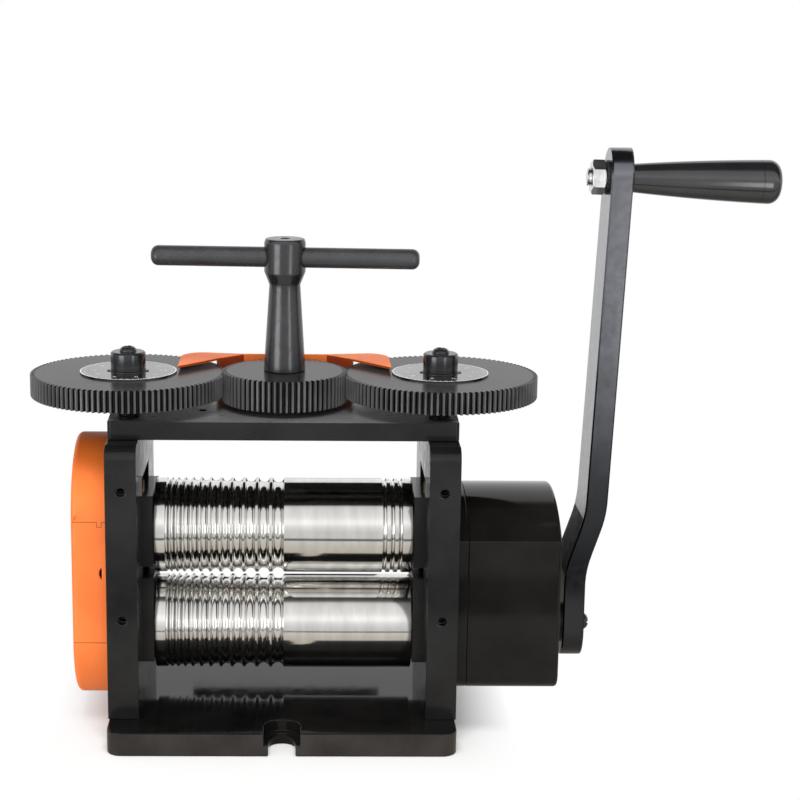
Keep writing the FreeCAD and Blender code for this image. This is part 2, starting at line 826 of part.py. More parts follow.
def make_layshaft():
    start = side_outer + lay_start
    pinion_start = side_outer + lay_pinion_start
    pinion_end = pinion_start + lay_pinion_width
    gear_start = side_outer + lay_gear_start
    gear_end = gear_start + lay_gear_width
    end = box_outer - lay_hole_floor - lay_end_gap
    shaft = turned("x", [(start, 0), (start, lay_radius), (pinion_end, lay_radius),
                         (pinion_end, lay_collar_radius), (gear_start, lay_collar_radius),
                         (gear_start, lay_seat_radius), (gear_end, lay_seat_radius),
                         (gear_end, lay_radius), (end, lay_radius), (end, 0)], 0, lay_axis)
    pinion = gear("x", pinion_start, pinion_end, output_gear_module, lay_pinion_teeth, 270,
                  1.0, gear_backlash, 3, 0, lay_axis)
    return shaft.fuse(pinion).removeSplitter()


def make_lay_gear():
    start = side_outer + lay_gear_start
    body = gear("x", start, start + lay_gear_width, crank_gear_module, lay_gear_teeth,
                270 + 180 / lay_gear_teeth, lay_gear_addendum, gear_backlash, 3, 0, lay_axis)
    return body.cut(rod("x", start, start + lay_gear_width, lay_seat_radius, 0, lay_axis))


def make_crank_shaft():
    collar_start = box_outer + crank_collar_gap
    pinion_start = side_outer + crank_pinion_start
    pinion_end = pinion_start + crank_pinion_width
    pilot_start = crank_start - turning_gap - pilot_length
    shaft = turned("x", [(pilot_start, 0), (pilot_start, pilot_radius), (crank_start, pilot_radius),
                         (crank_start, crank_radius), (pinion_start, crank_radius),
                         (pinion_start, 0)], 0, roll_axis)
    outer = turned("x", [(pinion_end, 0), (pinion_end, crank_radius), (collar_start, crank_radius),
                         (collar_start, crank_collar_radius), (arm_left, crank_collar_radius),
                         (arm_left, 0)], 0, roll_axis)
    pinion = gear("x", pinion_start, pinion_end, crank_gear_module, crank_pinion_teeth, 90,
                  1.0, gear_backlash, 3, 0, roll_axis)
    half = crank_square / 2
    square = block(arm_left, arm_right - crank_square_slack, -half, half, roll_axis - half,
                   roll_axis + half)
    shaft = shaft.fuse([pinion, outer, square]).removeSplitter()
    return shaft.cut(rod("x", arm_right, arm_right - crank_screw_length,
                         crank_screw_radius + hole_clearance, 0, roll_axis))


def arm_blank():
    # The arm seen from the front, cranked outwards near its foot, and seen from the side.
    low = roll_axis - arm_foot_radius
    bend = roll_axis + arm_bend_start
    straight = roll_axis + arm_bend_end
    high = pivot_z + arm_head_radius
    middle = arm_left + arm_thickness / 2
    top_x = middle + arm_bend_shift + (high - straight) * math.tan(math.radians(arm_lean))
    line = [(middle, low), (middle, bend), (middle + arm_bend_shift, straight), (top_x, high)]
    half = arm_thickness / 2
    points = [(x - half, z) for x, z in line] + [(x + half, z) for x, z in reversed(line)]
    front = prism("y", -arm_foot_radius, arm_foot_radius, points)
    slope = math.asin((arm_foot_radius - arm_head_radius) / crank_throw)
    across = math.cos(slope)
    rise = math.sin(slope)
    x = arm_left - half

    def spot(y, z):
        return Vector(x, y, z)

    foot_y, foot_z = arm_foot_radius * across, roll_axis + arm_foot_radius * rise
    head_y, head_z = arm_head_radius * across, pivot_z + arm_head_radius * rise
    edges = [
        Part.makeLine(spot(foot_y, foot_z), spot(head_y, head_z)),
        Part.Arc(spot(head_y, head_z), spot(0, high), spot(-head_y, head_z)).toShape(),
        Part.makeLine(spot(-head_y, head_z), spot(-foot_y, foot_z)),
        Part.Arc(spot(-foot_y, foot_z), spot(0, low), spot(foot_y, foot_z)).toShape(),
    ]
    face = Part.Face(Part.Wire(edges))
    return face.extrude(Vector(top_x + arm_thickness - x, 0, 0)).common(front)


def make_crank_arm():
    arm = arm_blank()
    arm = arm.makeChamfer(arm_edge, arm.Edges)
    half = crank_square / 2 + hole_clearance
    arm = arm.cut(block(arm_left, arm_right, -half, half, roll_axis - half, roll_axis + half))
    cuts = [rod("x", -arm_thickness, arm_thickness, stud_radius + hole_clearance),
            rod("x", -arm_thickness, -arm_face, spot_radius),
            rod("x", arm_face, arm_thickness, spot_radius)]
    for cut in cuts:
        arm = arm.cut(on_pivot(cut))
    return arm


def on_pivot(shape):
    # Pieces on the grip's stud are made along X and laid on its tilted axis.
    moved = shape.copy()
    moved.rotate(Vector(0, 0, 0), Vector(0, 1, 0), grip_tilt)
    moved.translate(Vector(pivot_x, 0, pivot_z))
    return moved


def make_crank_screw():
    return pan_screw("x", arm_right, 1, crank_screw_radius, crank_screw_length,
                     crank_screw_head_radius, crank_screw_head_height, 0, roll_axis)


def make_grip_stud():
    flange_end = arm_face + stud_flange_thickness
    rib = flange_end + stud_rib_start
    thread_start = -arm_thickness / 2 - stud_thread_end
    stud = turned("x", [(thread_start, 0), (thread_start, stud_radius - thread_chamfer),
                        (thread_start + thread_chamfer, stud_radius), (arm_face, stud_radius),
                        (arm_face, stud_flange_radius), (flange_end, stud_flange_radius),
                        (flange_end, stud_shoulder_radius), (rib, stud_shoulder_radius),
                        (rib, stud_rib_radius), (rib + stud_rib_width, stud_rib_radius),
                        (rib + stud_rib_width, stud_shoulder_radius),
                        (flange_end + stud_length, stud_shoulder_radius),
                        (flange_end + stud_length, 0)])
    return on_pivot(stud)


def make_lock_washer():
    start = -arm_face - lock_washer_thickness
    return on_pivot(tube("x", start, -arm_face, lock_washer_radius, stud_radius + hole_clearance))


def make_grip_nut():
    end = -arm_face - lock_washer_thickness
    start = end - nut_height
    corner = nut_flats / 2 / math.cos(math.radians(30))
    nut = prism("x", start, end, hexagon(nut_flats / 2))
    shape = turned("x", [(start, 0), (start, corner - nut_chamfer_width),
                         (start + nut_chamfer, corner), (end - nut_chamfer, corner),
                         (end, corner - nut_chamfer_width), (end, 0)])
    nut = nut.common(shape)
    return on_pivot(nut.cut(rod("x", start, end, stud_radius + hole_clearance)))


def make_grip():
    start = arm_face + stud_flange_thickness + turning_gap
    taper_end = start + grip_taper_length
    nose = taper_end + grip_nose
    nose_radius = grip_end_radius - grip_nose
    slant = grip_nose * (1 - math.sqrt(0.5))

    def spot(x, radius):
        return Vector(x, radius, 0)

    edges = [
        Part.makeLine(spot(start, 0), spot(start, grip_start_radius)),
        Part.Arc(spot(start, grip_start_radius), spot(start + grip_middle, grip_middle_radius),
                 spot(taper_end, grip_end_radius)).toShape(),
        Part.Arc(spot(taper_end, grip_end_radius), spot(nose - slant, grip_end_radius - slant),
                 spot(nose, nose_radius)).toShape(),
        Part.makeLine(spot(nose, nose_radius), spot(nose, 0)),
        Part.makeLine(spot(nose, 0), spot(start, 0)),
    ]
    grip = revolved("x", edges)
    stud_end = arm_face + stud_flange_thickness + stud_length
    rib = arm_face + stud_flange_thickness + stud_rib_start
    grip = grip.cut(rod("x", start, stud_end + turning_gap, stud_shoulder_radius + shaft_clearance))
    grip = grip.cut(rod("x", rib - turning_gap, rib + stud_rib_width + turning_gap,
                        stud_rib_radius + turning_gap))
    return on_pivot(grip)


def make_pressure_screw(side):
    x = side * gear_centres
    flange_bottom = gear_bottom - screw_flange_thickness
    stem_top = collar_top - collar_roof - collar_slack
    screw = rod("z", screw_bottom, gear_bottom, screw_radius, x, 0)
    screw = screw.fuse(rod("z", flange_bottom, gear_bottom, screw_flange_radius, x, 0))
    screw = screw.fuse(flat_rod("z", gear_bottom, stem_top, screw_radius, screw_flat, x, 0))
    depth = collar_screw_length - collar_roof - collar_slack
    return screw.removeSplitter().cut(rod("z", stem_top - depth, stem_top,
                                          collar_screw_radius + hole_clearance, x, 0))


def stem_hole(start, end, x):
    return flat_rod("z", start, end, screw_radius + hole_clearance, screw_flat + hole_clearance, x, 0)


def make_adjusting_gear(side):
    x = side * gear_centres
    phase = (180 if side > 0 else 0) + 180 / adjusting_teeth
    body = gear("z", gear_bottom, gear_top, adjusting_module, adjusting_teeth, phase,
                1.0, gear_backlash, 1, x, 0)
    return body.cut(stem_hole(gear_bottom, gear_top, x))


def make_dial(side):
    x = side * gear_centres
    plate = rod("z", gear_top, collar_bottom, dial_radius, x, 0)
    return plate.cut(stem_hole(gear_top, collar_bottom, x))


def make_collar(side):
    x = side * gear_centres
    collar = rod("z", collar_bottom, collar_top, collar_radius, x, 0)
    collar = collar.fuse(rod("z", collar_bottom, collar_bottom + collar_foot_height,
                             collar_foot_radius, x, 0))
    collar = collar.cut(stem_hole(collar_bottom, collar_top - collar_roof, x))
    return collar.cut(rod("z", collar_bottom, collar_top, collar_screw_radius + hole_clearance, x, 0))


def make_collar_screw(side):
    return pan_screw("z", collar_top, 1, collar_screw_radius, collar_screw_length,
                     collar_screw_head_radius, collar_screw_head_height, side * gear_centres, 0)


def make_thrust_pads():
    return both_sides(lambda side: rod("z", pad_bottom, screw_bottom, pad_radius,
                                       side * gear_centres, 0))


def make_post():
    groove_low = hub_bottom + set_screw_rise - set_screw_radius - turning_gap
    groove_high = hub_bottom + set_screw_rise + set_screw_radius + turning_gap
    return turned("z", [(side_top, 0), (side_top, post_stub_radius), (top_surface, post_stub_radius),
                        (top_surface, post_flange_radius), (post_flange_top, post_flange_radius),
                        (post_flange_top, post_radius), (groove_low, post_radius),
                        (groove_low, post_radius - post_groove),
                        (groove_high, post_radius - post_groove), (groove_high, post_radius),
                        (post_top, post_radius), (post_top, 0)])


def make_centre_gear():
    body = gear("z", centre_gear_bottom, hub_bottom, adjusting_module, centre_teeth, 0,
                1.0, gear_backlash, 1)
    return body.cut(flat_rod("z", centre_gear_bottom, hub_bottom, hub_spigot_radius + hole_clearance,
                             hub_spigot_flat + hole_clearance))


def make_hub():
    top = hub_bottom + hub_top_rise
    hub = turned("z", [(hub_bottom, 0), (hub_bottom, hub_foot_radius),
                       (hub_bottom + hub_waist_rise, hub_waist_radius),
                       (hub_bottom + hub_head_rise, hub_head_radius),
                       (top - hub_top_chamfer, hub_head_radius), (top, hub_top_radius), (top, 0)])
    spigot = flat_rod("z", centre_gear_bottom, hub_bottom, hub_spigot_radius, hub_spigot_flat)
    hub = hub.fuse(spigot)
    hub = hub.cut(rod("z", centre_gear_bottom, post_top + hub_bore_extra, post_radius + shaft_clearance))
    hub = hub.cut(across_hub(rod("x", -hub_foot_radius, hub_foot_radius, bar_radius)))
    hub = hub.cut(rod("z", hub_bottom + bar_rise, top, set_screw_radius + hole_clearance))
    return hub.cut(rod("y", 0, hub_foot_radius, set_screw_radius + hole_clearance, 0,
                       hub_bottom + set_screw_rise))


def across_hub(shape):
    # The bar lies along X through the hub's head and is turned a little about Z.
    moved = shape.copy()
    moved.rotate(Vector(0, 0, 0), Vector(0, 0, 1), bar_turn)
    moved.translate(Vector(0, 0, hub_bottom + bar_rise))
    return moved


def make_bar():
    bar = rod("x", -bar_length / 2, bar_length / 2, bar_radius)
    ends = edges_at_x(bar, -bar_length / 2) + edges_at_x(bar, bar_length / 2)
    return across_hub(bar.makeFillet(bar_end_round, ends))


def make_set_screws():
    # One holds the bar from above, the other rides in the post's groove.
    bar_top = hub_bottom + bar_rise + bar_radius
    groove = post_radius - post_groove + turning_gap / 2
    holders = [rod("z", bar_top, bar_top + set_screw_length, set_screw_radius),
               rod("y", groove, groove + set_screw_length, set_screw_radius, 0,
                   hub_bottom + set_screw_rise)]
    return Part.makeCompound(holders)


def offset_path(points, distance):
    # The path moved to its left by the distance, with mitred corners.
    moved = []
    for index, (x, y) in enumerate(points):
        before = points[max(index - 1, 0)]
        after = points[min(index + 1, len(points) - 1)]
        arriving = math.atan2(y - before[1], x - before[0]) if index else None
        leaving = math.atan2(after[1] - y, after[0] - x) if index < len(points) - 1 else None
        arriving = leaving if arriving is None else arriving
        leaving = arriving if leaving is None else leaving
        middle = (arriving + leaving) / 2 + math.pi / 2
        reach = distance / math.cos((leaving - arriving) / 2)
        moved.append((x + reach * math.cos(middle), y + reach * math.sin(middle)))
    return moved


def make_guard():
    path = [(-guard_front_half, guard_front), (-guard_back_half, guard_back),
            (guard_back_half, guard_back), (guard_front_half, guard_front)]
    outer = offset_path(path, guard_sheet)
    guard = prism("z", top_surface, guard_top, path + outer[::-1])
    for side in (-1, 1):
        corner_x = wing_half - wing_corner
        corner_y = wing_back - wing_corner
        wing = prism("z", wing_bottom, guard_top, [
            (side * guard_front_half, guard_front), (side * wing_half, wing_front),
            (side * wing_half, corner_y), (side * corner_x, corner_y),
            (side * corner_x, wing_back), (side * guard_back_half, guard_back + guard_sheet),
            (side * guard_back_half, guard_back)])
        corner = rod("z", wing_bottom, guard_top, wing_corner, side * corner_x, corner_y)
        guard = guard.fuse([wing, corner.common(block(
            min(side * corner_x, side * wing_half), max(side * corner_x, side * wing_half),
            corner_y, wing_back, wing_bottom, guard_top))])
    foot = block(-guard_back_half, guard_back_half, guard_foot_front, guard_back,
                 top_surface, top_surface + guard_sheet)
    guard = guard.fuse(foot)
    for side in (-1, 1):
        guard = guard.cut(rod("z", top_surface, top_surface + guard_sheet,
                              guard_screw_radius + hole_clearance, side * guard_screw_x,
                              guard_screw_y))
    return guard.removeSplitter()


def make_guard_screws():
    return both_sides(lambda side: pan_screw(
        "z", top_surface + guard_sheet, 1, guard_screw_radius, guard_screw_length,
        guard_screw_head_radius, guard_screw_head_height, side * guard_screw_x, guard_screw_y))


nodes = {
    "base_plate": make_base(),
    "base_screws": make_base_screws(),
    "top_plate": make_top_plate(),
    "top_plate_screws": make_top_screws(),
    "return_springs": make_springs(),
    "thrust_pads": make_thrust_pads(),
    "lower_roll": make_lower_roll(),
    "lower_roll_gear": make_roll_gear(roll_axis, 90),
    "lower_roll_keys": Part.makeCompound([
        key_space(-recess_floor + turning_gap, -roll_gear_inner, roll_axis),
        key_space(output_start, output_end, roll_axis)]),
    "lower_roll_washer": make_roll_washer(roll_axis),
    "lower_roll_bolt": make_roll_bolt(roll_axis),
    "upper_roll": make_upper_roll(),
    "upper_roll_gear": make_roll_gear(upper_axis, 270 + 180 / roll_gear_teeth),
    "upper_roll_key": key_space(-recess_floor + turning_gap, -roll_gear_inner, upper_axis),
    "upper_roll_washer": make_roll_washer(upper_axis),
    "upper_roll_bolt": make_roll_bolt(upper_axis),
    "left_gear_cover": make_gear_cover(),
    "cover_posts": make_cover_posts(),
    "cover_screws": make_cover_screws(),
    "gearbox_plate": make_box_plate(),
    "gearbox_housing": make_housing(),
    "gearbox_screws": make_box_screws(),
    "crank_bush": make_crank_bush(),
    "output_gear": make_output_gear(),
    "layshaft": make_layshaft(),
    "layshaft_gear": make_lay_gear(),
    "crank_shaft": make_crank_shaft(),
    "crank_arm": make_crank_arm(),
    "crank_screw": make_crank_screw(),
    "grip_stud": make_grip_stud(),
    "grip_lock_washer": make_lock_washer(),
    "grip_nut": make_grip_nut(),
    "grip": make_grip(),
    "handle_post": make_post(),
    "centre_gear": make_centre_gear(),
    "handle_hub": make_hub(),
    "handle_bar": make_bar(),
    "handle_set_screws": make_set_screws(),
    "gear_guard": make_guard(),
    "gear_guard_screws": make_guard_screws(),
}
for name, side in (("left", -1), ("right", 1)):
    nodes[name + "_side_plate"] = make_side_plate(side)
    nodes["lower_" + name + "_bearing_block"] = make_lower_block(side)
    nodes["upper_" + name + "_bearing_block"] = make_upper_block(side)
    nodes["lower_" + name + "_bush"] = make_bush(side, roll_axis)
    nodes["upper_" + name + "_bush"] = make_bush(side, upper_axis)
    nodes[name + "_pressure_screw"] = make_pressure_screw(side)
    nodes[name + "_adjusting_gear"] = make_adjusting_gear(side)
    nodes[name + "_dial"] = make_dial(side)
    nodes[name + "_collar"] = make_collar(side)
    nodes[name + "_collar_screw"] = make_collar_screw(side)

os.makedirs("parts", exist_ok=True)
for name, shape in nodes.items():
    shape.exportStep(os.path.join("parts", name + ".step"))
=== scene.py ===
from math import asin, copysign, cos, hypot, pi, radians, sin, sqrt, tan
import bmesh
import bpy
from mathutils import Matrix, Vector


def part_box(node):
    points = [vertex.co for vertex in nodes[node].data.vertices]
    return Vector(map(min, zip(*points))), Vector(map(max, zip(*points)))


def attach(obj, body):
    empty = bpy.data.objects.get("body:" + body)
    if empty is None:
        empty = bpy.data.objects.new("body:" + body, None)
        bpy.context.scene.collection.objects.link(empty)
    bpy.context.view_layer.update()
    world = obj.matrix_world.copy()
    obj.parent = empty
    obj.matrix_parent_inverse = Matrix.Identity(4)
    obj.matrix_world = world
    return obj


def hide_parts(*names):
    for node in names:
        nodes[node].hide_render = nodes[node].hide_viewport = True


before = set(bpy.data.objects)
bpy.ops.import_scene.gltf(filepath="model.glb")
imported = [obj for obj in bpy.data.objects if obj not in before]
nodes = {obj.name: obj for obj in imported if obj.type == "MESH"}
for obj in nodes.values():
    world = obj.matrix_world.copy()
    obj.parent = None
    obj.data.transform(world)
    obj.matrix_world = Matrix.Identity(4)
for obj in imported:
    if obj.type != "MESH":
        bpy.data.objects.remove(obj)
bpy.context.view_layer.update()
mm = 0.001
mergeDistance = 1e-6
print("frame loaded,", len(nodes), "nodes")

camera = {
    "place": (0.010788, -1.015446, 0.394028),
    "yaw": 1.105,        # degrees, turned to the right
    "pitch": 12.134,     # degrees, looking down
    "roll": 0.549,
    "lens": 85.42,
    "sensor": 36.0,
    "shift": 0.075,
    "clip": (0.05, 30),
}


def linked(name, data):
    holder = bpy.data.objects.new(name, data)
    bpy.context.scene.collection.objects.link(holder)
    return holder


def makeCamera(spec):
    yaw, pitch, roll = [radians(spec[turn]) for turn in ("yaw", "pitch", "roll")]
    forward = Vector((sin(yaw) * cos(pitch), cos(yaw) * cos(pitch), -sin(pitch)))
    right = Vector((cos(yaw), -sin(yaw), 0))
    up = right.cross(forward)
    tilted = right * cos(roll) + up * sin(roll)
    upright = up * cos(roll) - right * sin(roll)
    data = bpy.data.cameras.new("millCamera")
    data.lens, data.sensor_width, data.shift_x = spec["lens"], spec["sensor"], spec["shift"]
    data.clip_start, data.clip_end = spec["clip"]
    holder = linked("millCamera", data)
    holder.matrix_world = Matrix.Translation(spec["place"]) @ Matrix(
        (tilted, upright, -forward)).transposed().to_4x4()
    bpy.context.scene.camera = holder


makeCamera(camera)


class Output:
    # a node's output, which is reckoned with like a number
    def __init__(self, socket):
        self.socket = socket
        self.tree = socket.id_data

    def __add__(self, other):
        return worked("ADD", self, other)

    def __sub__(self, other):
        return worked("SUBTRACT", self, other)

    def __rsub__(self, other):
        return worked("SUBTRACT", other, self)

    def __mul__(self, other):
        return worked("MULTIPLY", self, other)

    def __truediv__(self, other):
        return worked("DIVIDE", self, other)

    def __rtruediv__(self, other):
        return worked("DIVIDE", other, self)

    def __mod__(self, other):
        return worked("FLOORED_MODULO", self, other)


def plug(value, socket):
    if isinstance(value, Output):
        value.tree.links.new(value.socket, socket)
    else:
        socket.default_value = value


def addNode(tree, kind, links=None, **settings):
    node = tree.nodes.new(kind)
    for key, value in settings.items():
        setattr(node, key, value)
    for key, value in (links or {}).items():
        plug(value, node.inputs[key])
    return node


def made(tree, kind, links=None, **settings):
    # a node of which only the first output is used
    return Output(addNode(tree, kind, links, **settings).outputs[0])


def worked(operation, *values):
    tree = next(value.tree for value in values if isinstance(value, Output))
    return made(tree, "ShaderNodeMath", dict(enumerate(values)), operation=operation)


def newFinish(name, colour, metal, rough, gloss=0.5):
    material = bpy.data.materials.new(name)
    material.use_nodes = True
    surface = material.node_tree.nodes["Principled BSDF"]
    look = {"Base Color": (*colour, 1), "Metallic": metal, "Roughness": rough, "Specular IOR Level": gloss}
    for key, value in look.items():
        surface.inputs[key].default_value = value
    return material, material.node_tree, surface


def dress(surface, colour, rough, relief=None):
    plug(colour, surface.inputs["Base Color"])
    plug(rough, surface.inputs["Roughness"])
    if relief:
        plug(relief, surface.inputs["Normal"])


def objectCoords(tree, stretch=(1, 1, 1), centre=(0, 0, 0)):
    coords = Output(addNode(tree, "ShaderNodeTexCoord").outputs["Object"])
    return made(tree, "ShaderNodeMapping", {
        "Scale": stretch, "Location": [-c * s for c, s in zip(centre, stretch)], "Vector": coords},
        vector_type="POINT")


def noiseOf(vector, scale, detail, rough=0.5, kind="3D"):
    return made(vector.tree, "ShaderNodeTexNoise", {
        "Scale": scale, "Detail": detail, "Roughness": rough, "W" if kind == "1D" else "Vector": vector},
        noise_dimensions=kind)


# where a noise turns from one roughness, or one tone, to the other
roughSpan = (0.3, 0.7)
toneSpan = (0.35, 0.65)


def ranged(value, to, span=roughSpan):
    return made(value.tree, "ShaderNodeMapRange", {
        "From Min": span[0], "From Max": span[1], "To Min": to[0], "To Max": to[1], "Value": value})


def tinted(value, *tones):
    ramp = addNode(value.tree, "ShaderNodeValToRGB", {"Fac": value})
    for stop, spot, tone in zip(ramp.color_ramp.elements, toneSpan, tones):
        stop.position = spot
        stop.color = (*tone, 1)
    return Output(ramp.outputs["Color"])


def stepped(value, stops):
    # a colour that changes along a value, through stops of (value, colour)
    first, last = stops[0][0], stops[-1][0]
    ramp = addNode(value.tree, "ShaderNodeValToRGB", {"Fac": ranged(value, (0.0, 1.0), (first, last))})
    for place, (at, tone) in enumerate(stops):
        spot = (at - first) / (last - first)
        if place == 0:
            stop = ramp.color_ramp.elements[0]
        elif place == len(stops) - 1:
            stop = ramp.color_ramp.elements[-1]
        else:
            stop = ramp.color_ramp.elements.new(spot)
        stop.position = spot
        stop.color = (*tone, 1)
    return Output(ramp.outputs["Color"])


def bumped(height, strength, distance):
    return made(height.tree, "ShaderNodeBump", {"Strength": strength, "Distance": distance, "Height": height})


def coated(name, dark, light, rough, metal=0, gloss=0.5, grain=2400,
           clouds=(55, 5), blots=(260, 4), relief=(0.12, 0.00002)):
    # clouds of tone, blots of roughness and a fine grain
    material, tree, surface = newFinish(name, light, metal, rough[0], gloss)
    dress(surface, tinted(noiseOf(objectCoords(tree), *clouds), dark, light),
          ranged(noiseOf(objectCoords(tree), *blots), rough),
          bumped(noiseOf(objectCoords(tree), grain, 2), *relief))
    return material


def turnedSteel(name, centre, dark, light, rough, metal=0, gloss=0.5, rings=(1500, 2, 0.6), clouds=(45, 4)):
    # concentric marks round an upright axis
    material, tree, surface = newFinish(name, light, metal, rough[0], gloss)
    flat = objectCoords(tree, (1, 1, 0), centre)
    away = addNode(tree, "ShaderNodeVectorMath", {0: flat}, operation="LENGTH")
    dress(surface, tinted(noiseOf(objectCoords(tree), *clouds), dark, light),
          ranged(noiseOf(Output(away.outputs["Value"]), *rings, "1D"), rough))
    return material


rollPolish = {
    "dark": (0.66, 0.645, 0.62),
    "light": (0.76, 0.75, 0.735),
    "rough": (0.07, 0.15),
    "lines": (3200, 3, 0.65),
    "clouds": (160, 4),
    "relief": (0.05, 0.00002),
}


def rollSteel(name, spec):
    # ground round the axis, so every line runs round the roll
    material, tree, surface = newFinish(name, spec["light"], 1, spec["rough"][0])
    lines = noiseOf(objectCoords(tree, (1, 0, 0)), *spec["lines"])
    clouds = noiseOf(objectCoords(tree, (1, 0.25, 0.25)), *spec["clouds"])
    dress(surface, tinted(clouds, spec["dark"], spec["light"]), ranged(lines, spec["rough"]),
          bumped(lines, *spec["relief"]))
    return material


# name: dark tone, light tone, roughness, gloss, scale of the clouds, scale and depth of the grain
enamels = {
    "glossBlackEnamel": ((0.0035, 0.0034, 0.0034), (0.0085, 0.0080, 0.0076), (0.05, 0.10),
        0.17, 32, 700, 0.00001),
    "satinBlackEnamel": ((0.0060, 0.0060, 0.0062), (0.0115, 0.0113, 0.0113), (0.13, 0.20),
        0.30, 42, 1100, 0.00005),
    "housingBlackEnamel": ((0.0045, 0.0040, 0.0036), (0.0100, 0.0088, 0.0078), (0.06, 0.11),
        0.20, 26, 700, 0.00001),
    # painted light on the base's front face, where the front lamp falls
    "baseFrontEnamelPaintedLight": ((0.020, 0.0175, 0.0160), (0.033, 0.0295, 0.0270), (0.16, 0.26),
        0.25, 48, 900, 0.00003),
    # painted light on the top plate's upper face, which the gears above keep in shade
    "plateTopPaintedLight": ((0.11, 0.11, 0.113), (0.15, 0.15, 0.155), (0.26, 0.36),
        0.30, 40, 1100, 0.00003),
}
enamel, enamelSatin, boxEnamel, baseFrontPaintedLight, topFacePaintedLight = [
    coated(name, dark, light, rough, 0, gloss, grain, (scale, 4), (120, 5), (0.15, depth))
    for name, (dark, light, rough, gloss, scale, grain, depth) in enamels.items()]

# name: dark tone, light tone, roughness, depth of the orange peel
powderCoats = {
    "orangePowderCoat": ((0.84, 0.165, 0.022), (0.95, 0.215, 0.034), (0.42, 0.54), 0.00012),
    # painted shade on the guard's slanted walls: the same orange, darker
    "orangeWallPaintedShade": ((0.27, 0.036, 0.010), (0.36, 0.052, 0.014), (0.30, 0.42), 0.0001),
}
orange, guardWallPaintedShade = [coated(name, dark, light, rough, 0, 0.5, 950, (25, 4), (150, 4), (0.35, depth))
                      for name, (dark, light, rough, depth) in powderCoats.items()]

# name: dark tone, light tone, roughness, metal, gloss, grain
metals = {
    "handlePhosphate": ((0.009, 0.0095, 0.0112), (0.017, 0.0177, 0.0203), (0.20, 0.28), 0, 0.7),
    "barPhosphate": ((0.026, 0.0268, 0.0295), (0.038, 0.039, 0.0425), (0.24, 0.34)),
    # painted shade on the arm's left faces in its bends
    "armBendPaintedShade": ((0.006, 0.0062, 0.0070), (0.011, 0.0113, 0.0125), (0.40, 0.55), 0, 0.12),
    "screwBlackOxide": ((0.010, 0.010, 0.011), (0.020, 0.020, 0.022), (0.18, 0.30)),
    # painted shade on the tooth flanks and roots, and a painted highlight on the tooth tips
    "toothPaintedShade": ((0.003, 0.003, 0.0032), (0.007, 0.007, 0.0075), (0.34, 0.46), 0, 0.15),
    "toothTipPaintedHighlight": ((0.045, 0.045, 0.047), (0.080, 0.080, 0.083), (0.28, 0.40)),
    "innerGearSteel": ((0.34, 0.335, 0.33), (0.46, 0.455, 0.45), (0.28, 0.42), 1),
    "bushBronze": ((0.50, 0.30, 0.13), (0.62, 0.39, 0.18), (0.26, 0.40), 1),
    "springSteel": ((0.36, 0.355, 0.35), (0.50, 0.495, 0.49), (0.24, 0.36), 1),
    "brightZinc": ((0.60, 0.605, 0.61), (0.76, 0.765, 0.77), (0.14, 0.26), 1),
    "gripGlossBlack": ((0.008, 0.0084, 0.0098), (0.013, 0.0136, 0.0155), (0.15, 0.20), 0, 0.95, 900),
    "dialMarkSilver": ((0.62, 0.62, 0.62), (0.78, 0.78, 0.78), (0.30, 0.42)),
    "seamBrown": ((0.16, 0.030, 0.006), (0.26, 0.050, 0.010), (0.5, 0.6), 0, 0.2),
}
(handleSteel, barSteel, bendPaintedShade, screwSteel, toothGapShade, toothTipHighlight, innerSteel, bushBronze, springSteel,
 zincPlate, gripPlastic, markSilver, seamBrown) = [coated(name, *look) for name, look in metals.items()]

armFinish = {
    # height in mm from foot to grip, and the painted reflection tone of the arm there
    "tones": ((40, 0.055), (66, 0.052), (84, 0.034), (110, 0.040), (133, 0.052), (155, 0.088), (178, 0.115),
              (212, 0.155), (250, 0.170), (292, 0.185)),
    "tint": (0.96, 0.99, 1.09),
    "stray": (-9 * mm, 9 * mm),      # how far the tones wander up and down
    "clouds": (70, 5),
    "blots": (260, 4),
    "rough": (0.14, 0.22),
}


def axesOf(vector):
    return [Output(socket) for socket in addNode(
        vector.tree, "ShaderNodeSeparateXYZ", {"Vector": vector}).outputs]


def makeArmFinish(spec):
    # dark bare steel, with a painted reflection: tones by height, paler towards the grip
    material, tree, surface = newFinish("armOxidePaintedReflection", (0.1, 0.1, 0.11), 1, 0.16)
    drift = ranged(noiseOf(objectCoords(tree), *spec["clouds"]), spec["stray"])
    height = axesOf(objectCoords(tree))[2] + drift
    stops = [(level * mm, [tone * share for share in spec["tint"]]) for level, tone in spec["tones"]]
    dress(surface, stepped(height, stops), ranged(noiseOf(objectCoords(tree), *spec["blots"]), spec["rough"]))
    return material


print("finishes made")


def refinish(mesh, *finishes):
    mesh.materials.clear()
    for finish in finishes:
        mesh.materials.append(finish)


def addObject(name, mesh, *finishes):
    refinish(mesh, *finishes)
    return linked(name, mesh)


def shaded(piece, angle):
    for face in piece.data.polygons:
        face.use_smooth = True
    piece.data.set_sharp_from_angle(angle=radians(angle))
    return piece


def placed(piece, body, slot, *replaced):
    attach(piece, body)
    if replaced:
        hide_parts(*replaced)
    return piece


def faceOut(work):
    bmesh.ops.recalc_face_normals(work, faces=work.faces)


def facedOut(piece):
    work = bmesh.new()
    work.from_mesh(piece.data)
    faceOut(work)
    work.to_mesh(piece.data)
    work.free()
    return piece


def fromMesh(name, work, material):
    mesh = bpy.data.meshes.new(name)
    work.to_mesh(mesh)
    work.free()
    return addObject(name, mesh, material)


softening = {
    "flat": 0.6,         # degrees between faces that are joined to one
    "sharp": 35,         # degrees from which an edge is broken
    "smooth": 40,
    "shortest": 1e-7,
    # faces with many holes, which stay in triangles
    "triangles": ("base_plate", "top_plate", "handle_hub", "grip_nut", "left_gear_cover"),
    # long edges near a height that are rounded more: height, width, how near, how long
    "wide": {"gearbox_housing": (26.5 * mm, 4.5 * mm, 0.1 * mm, 8 * mm)},
}


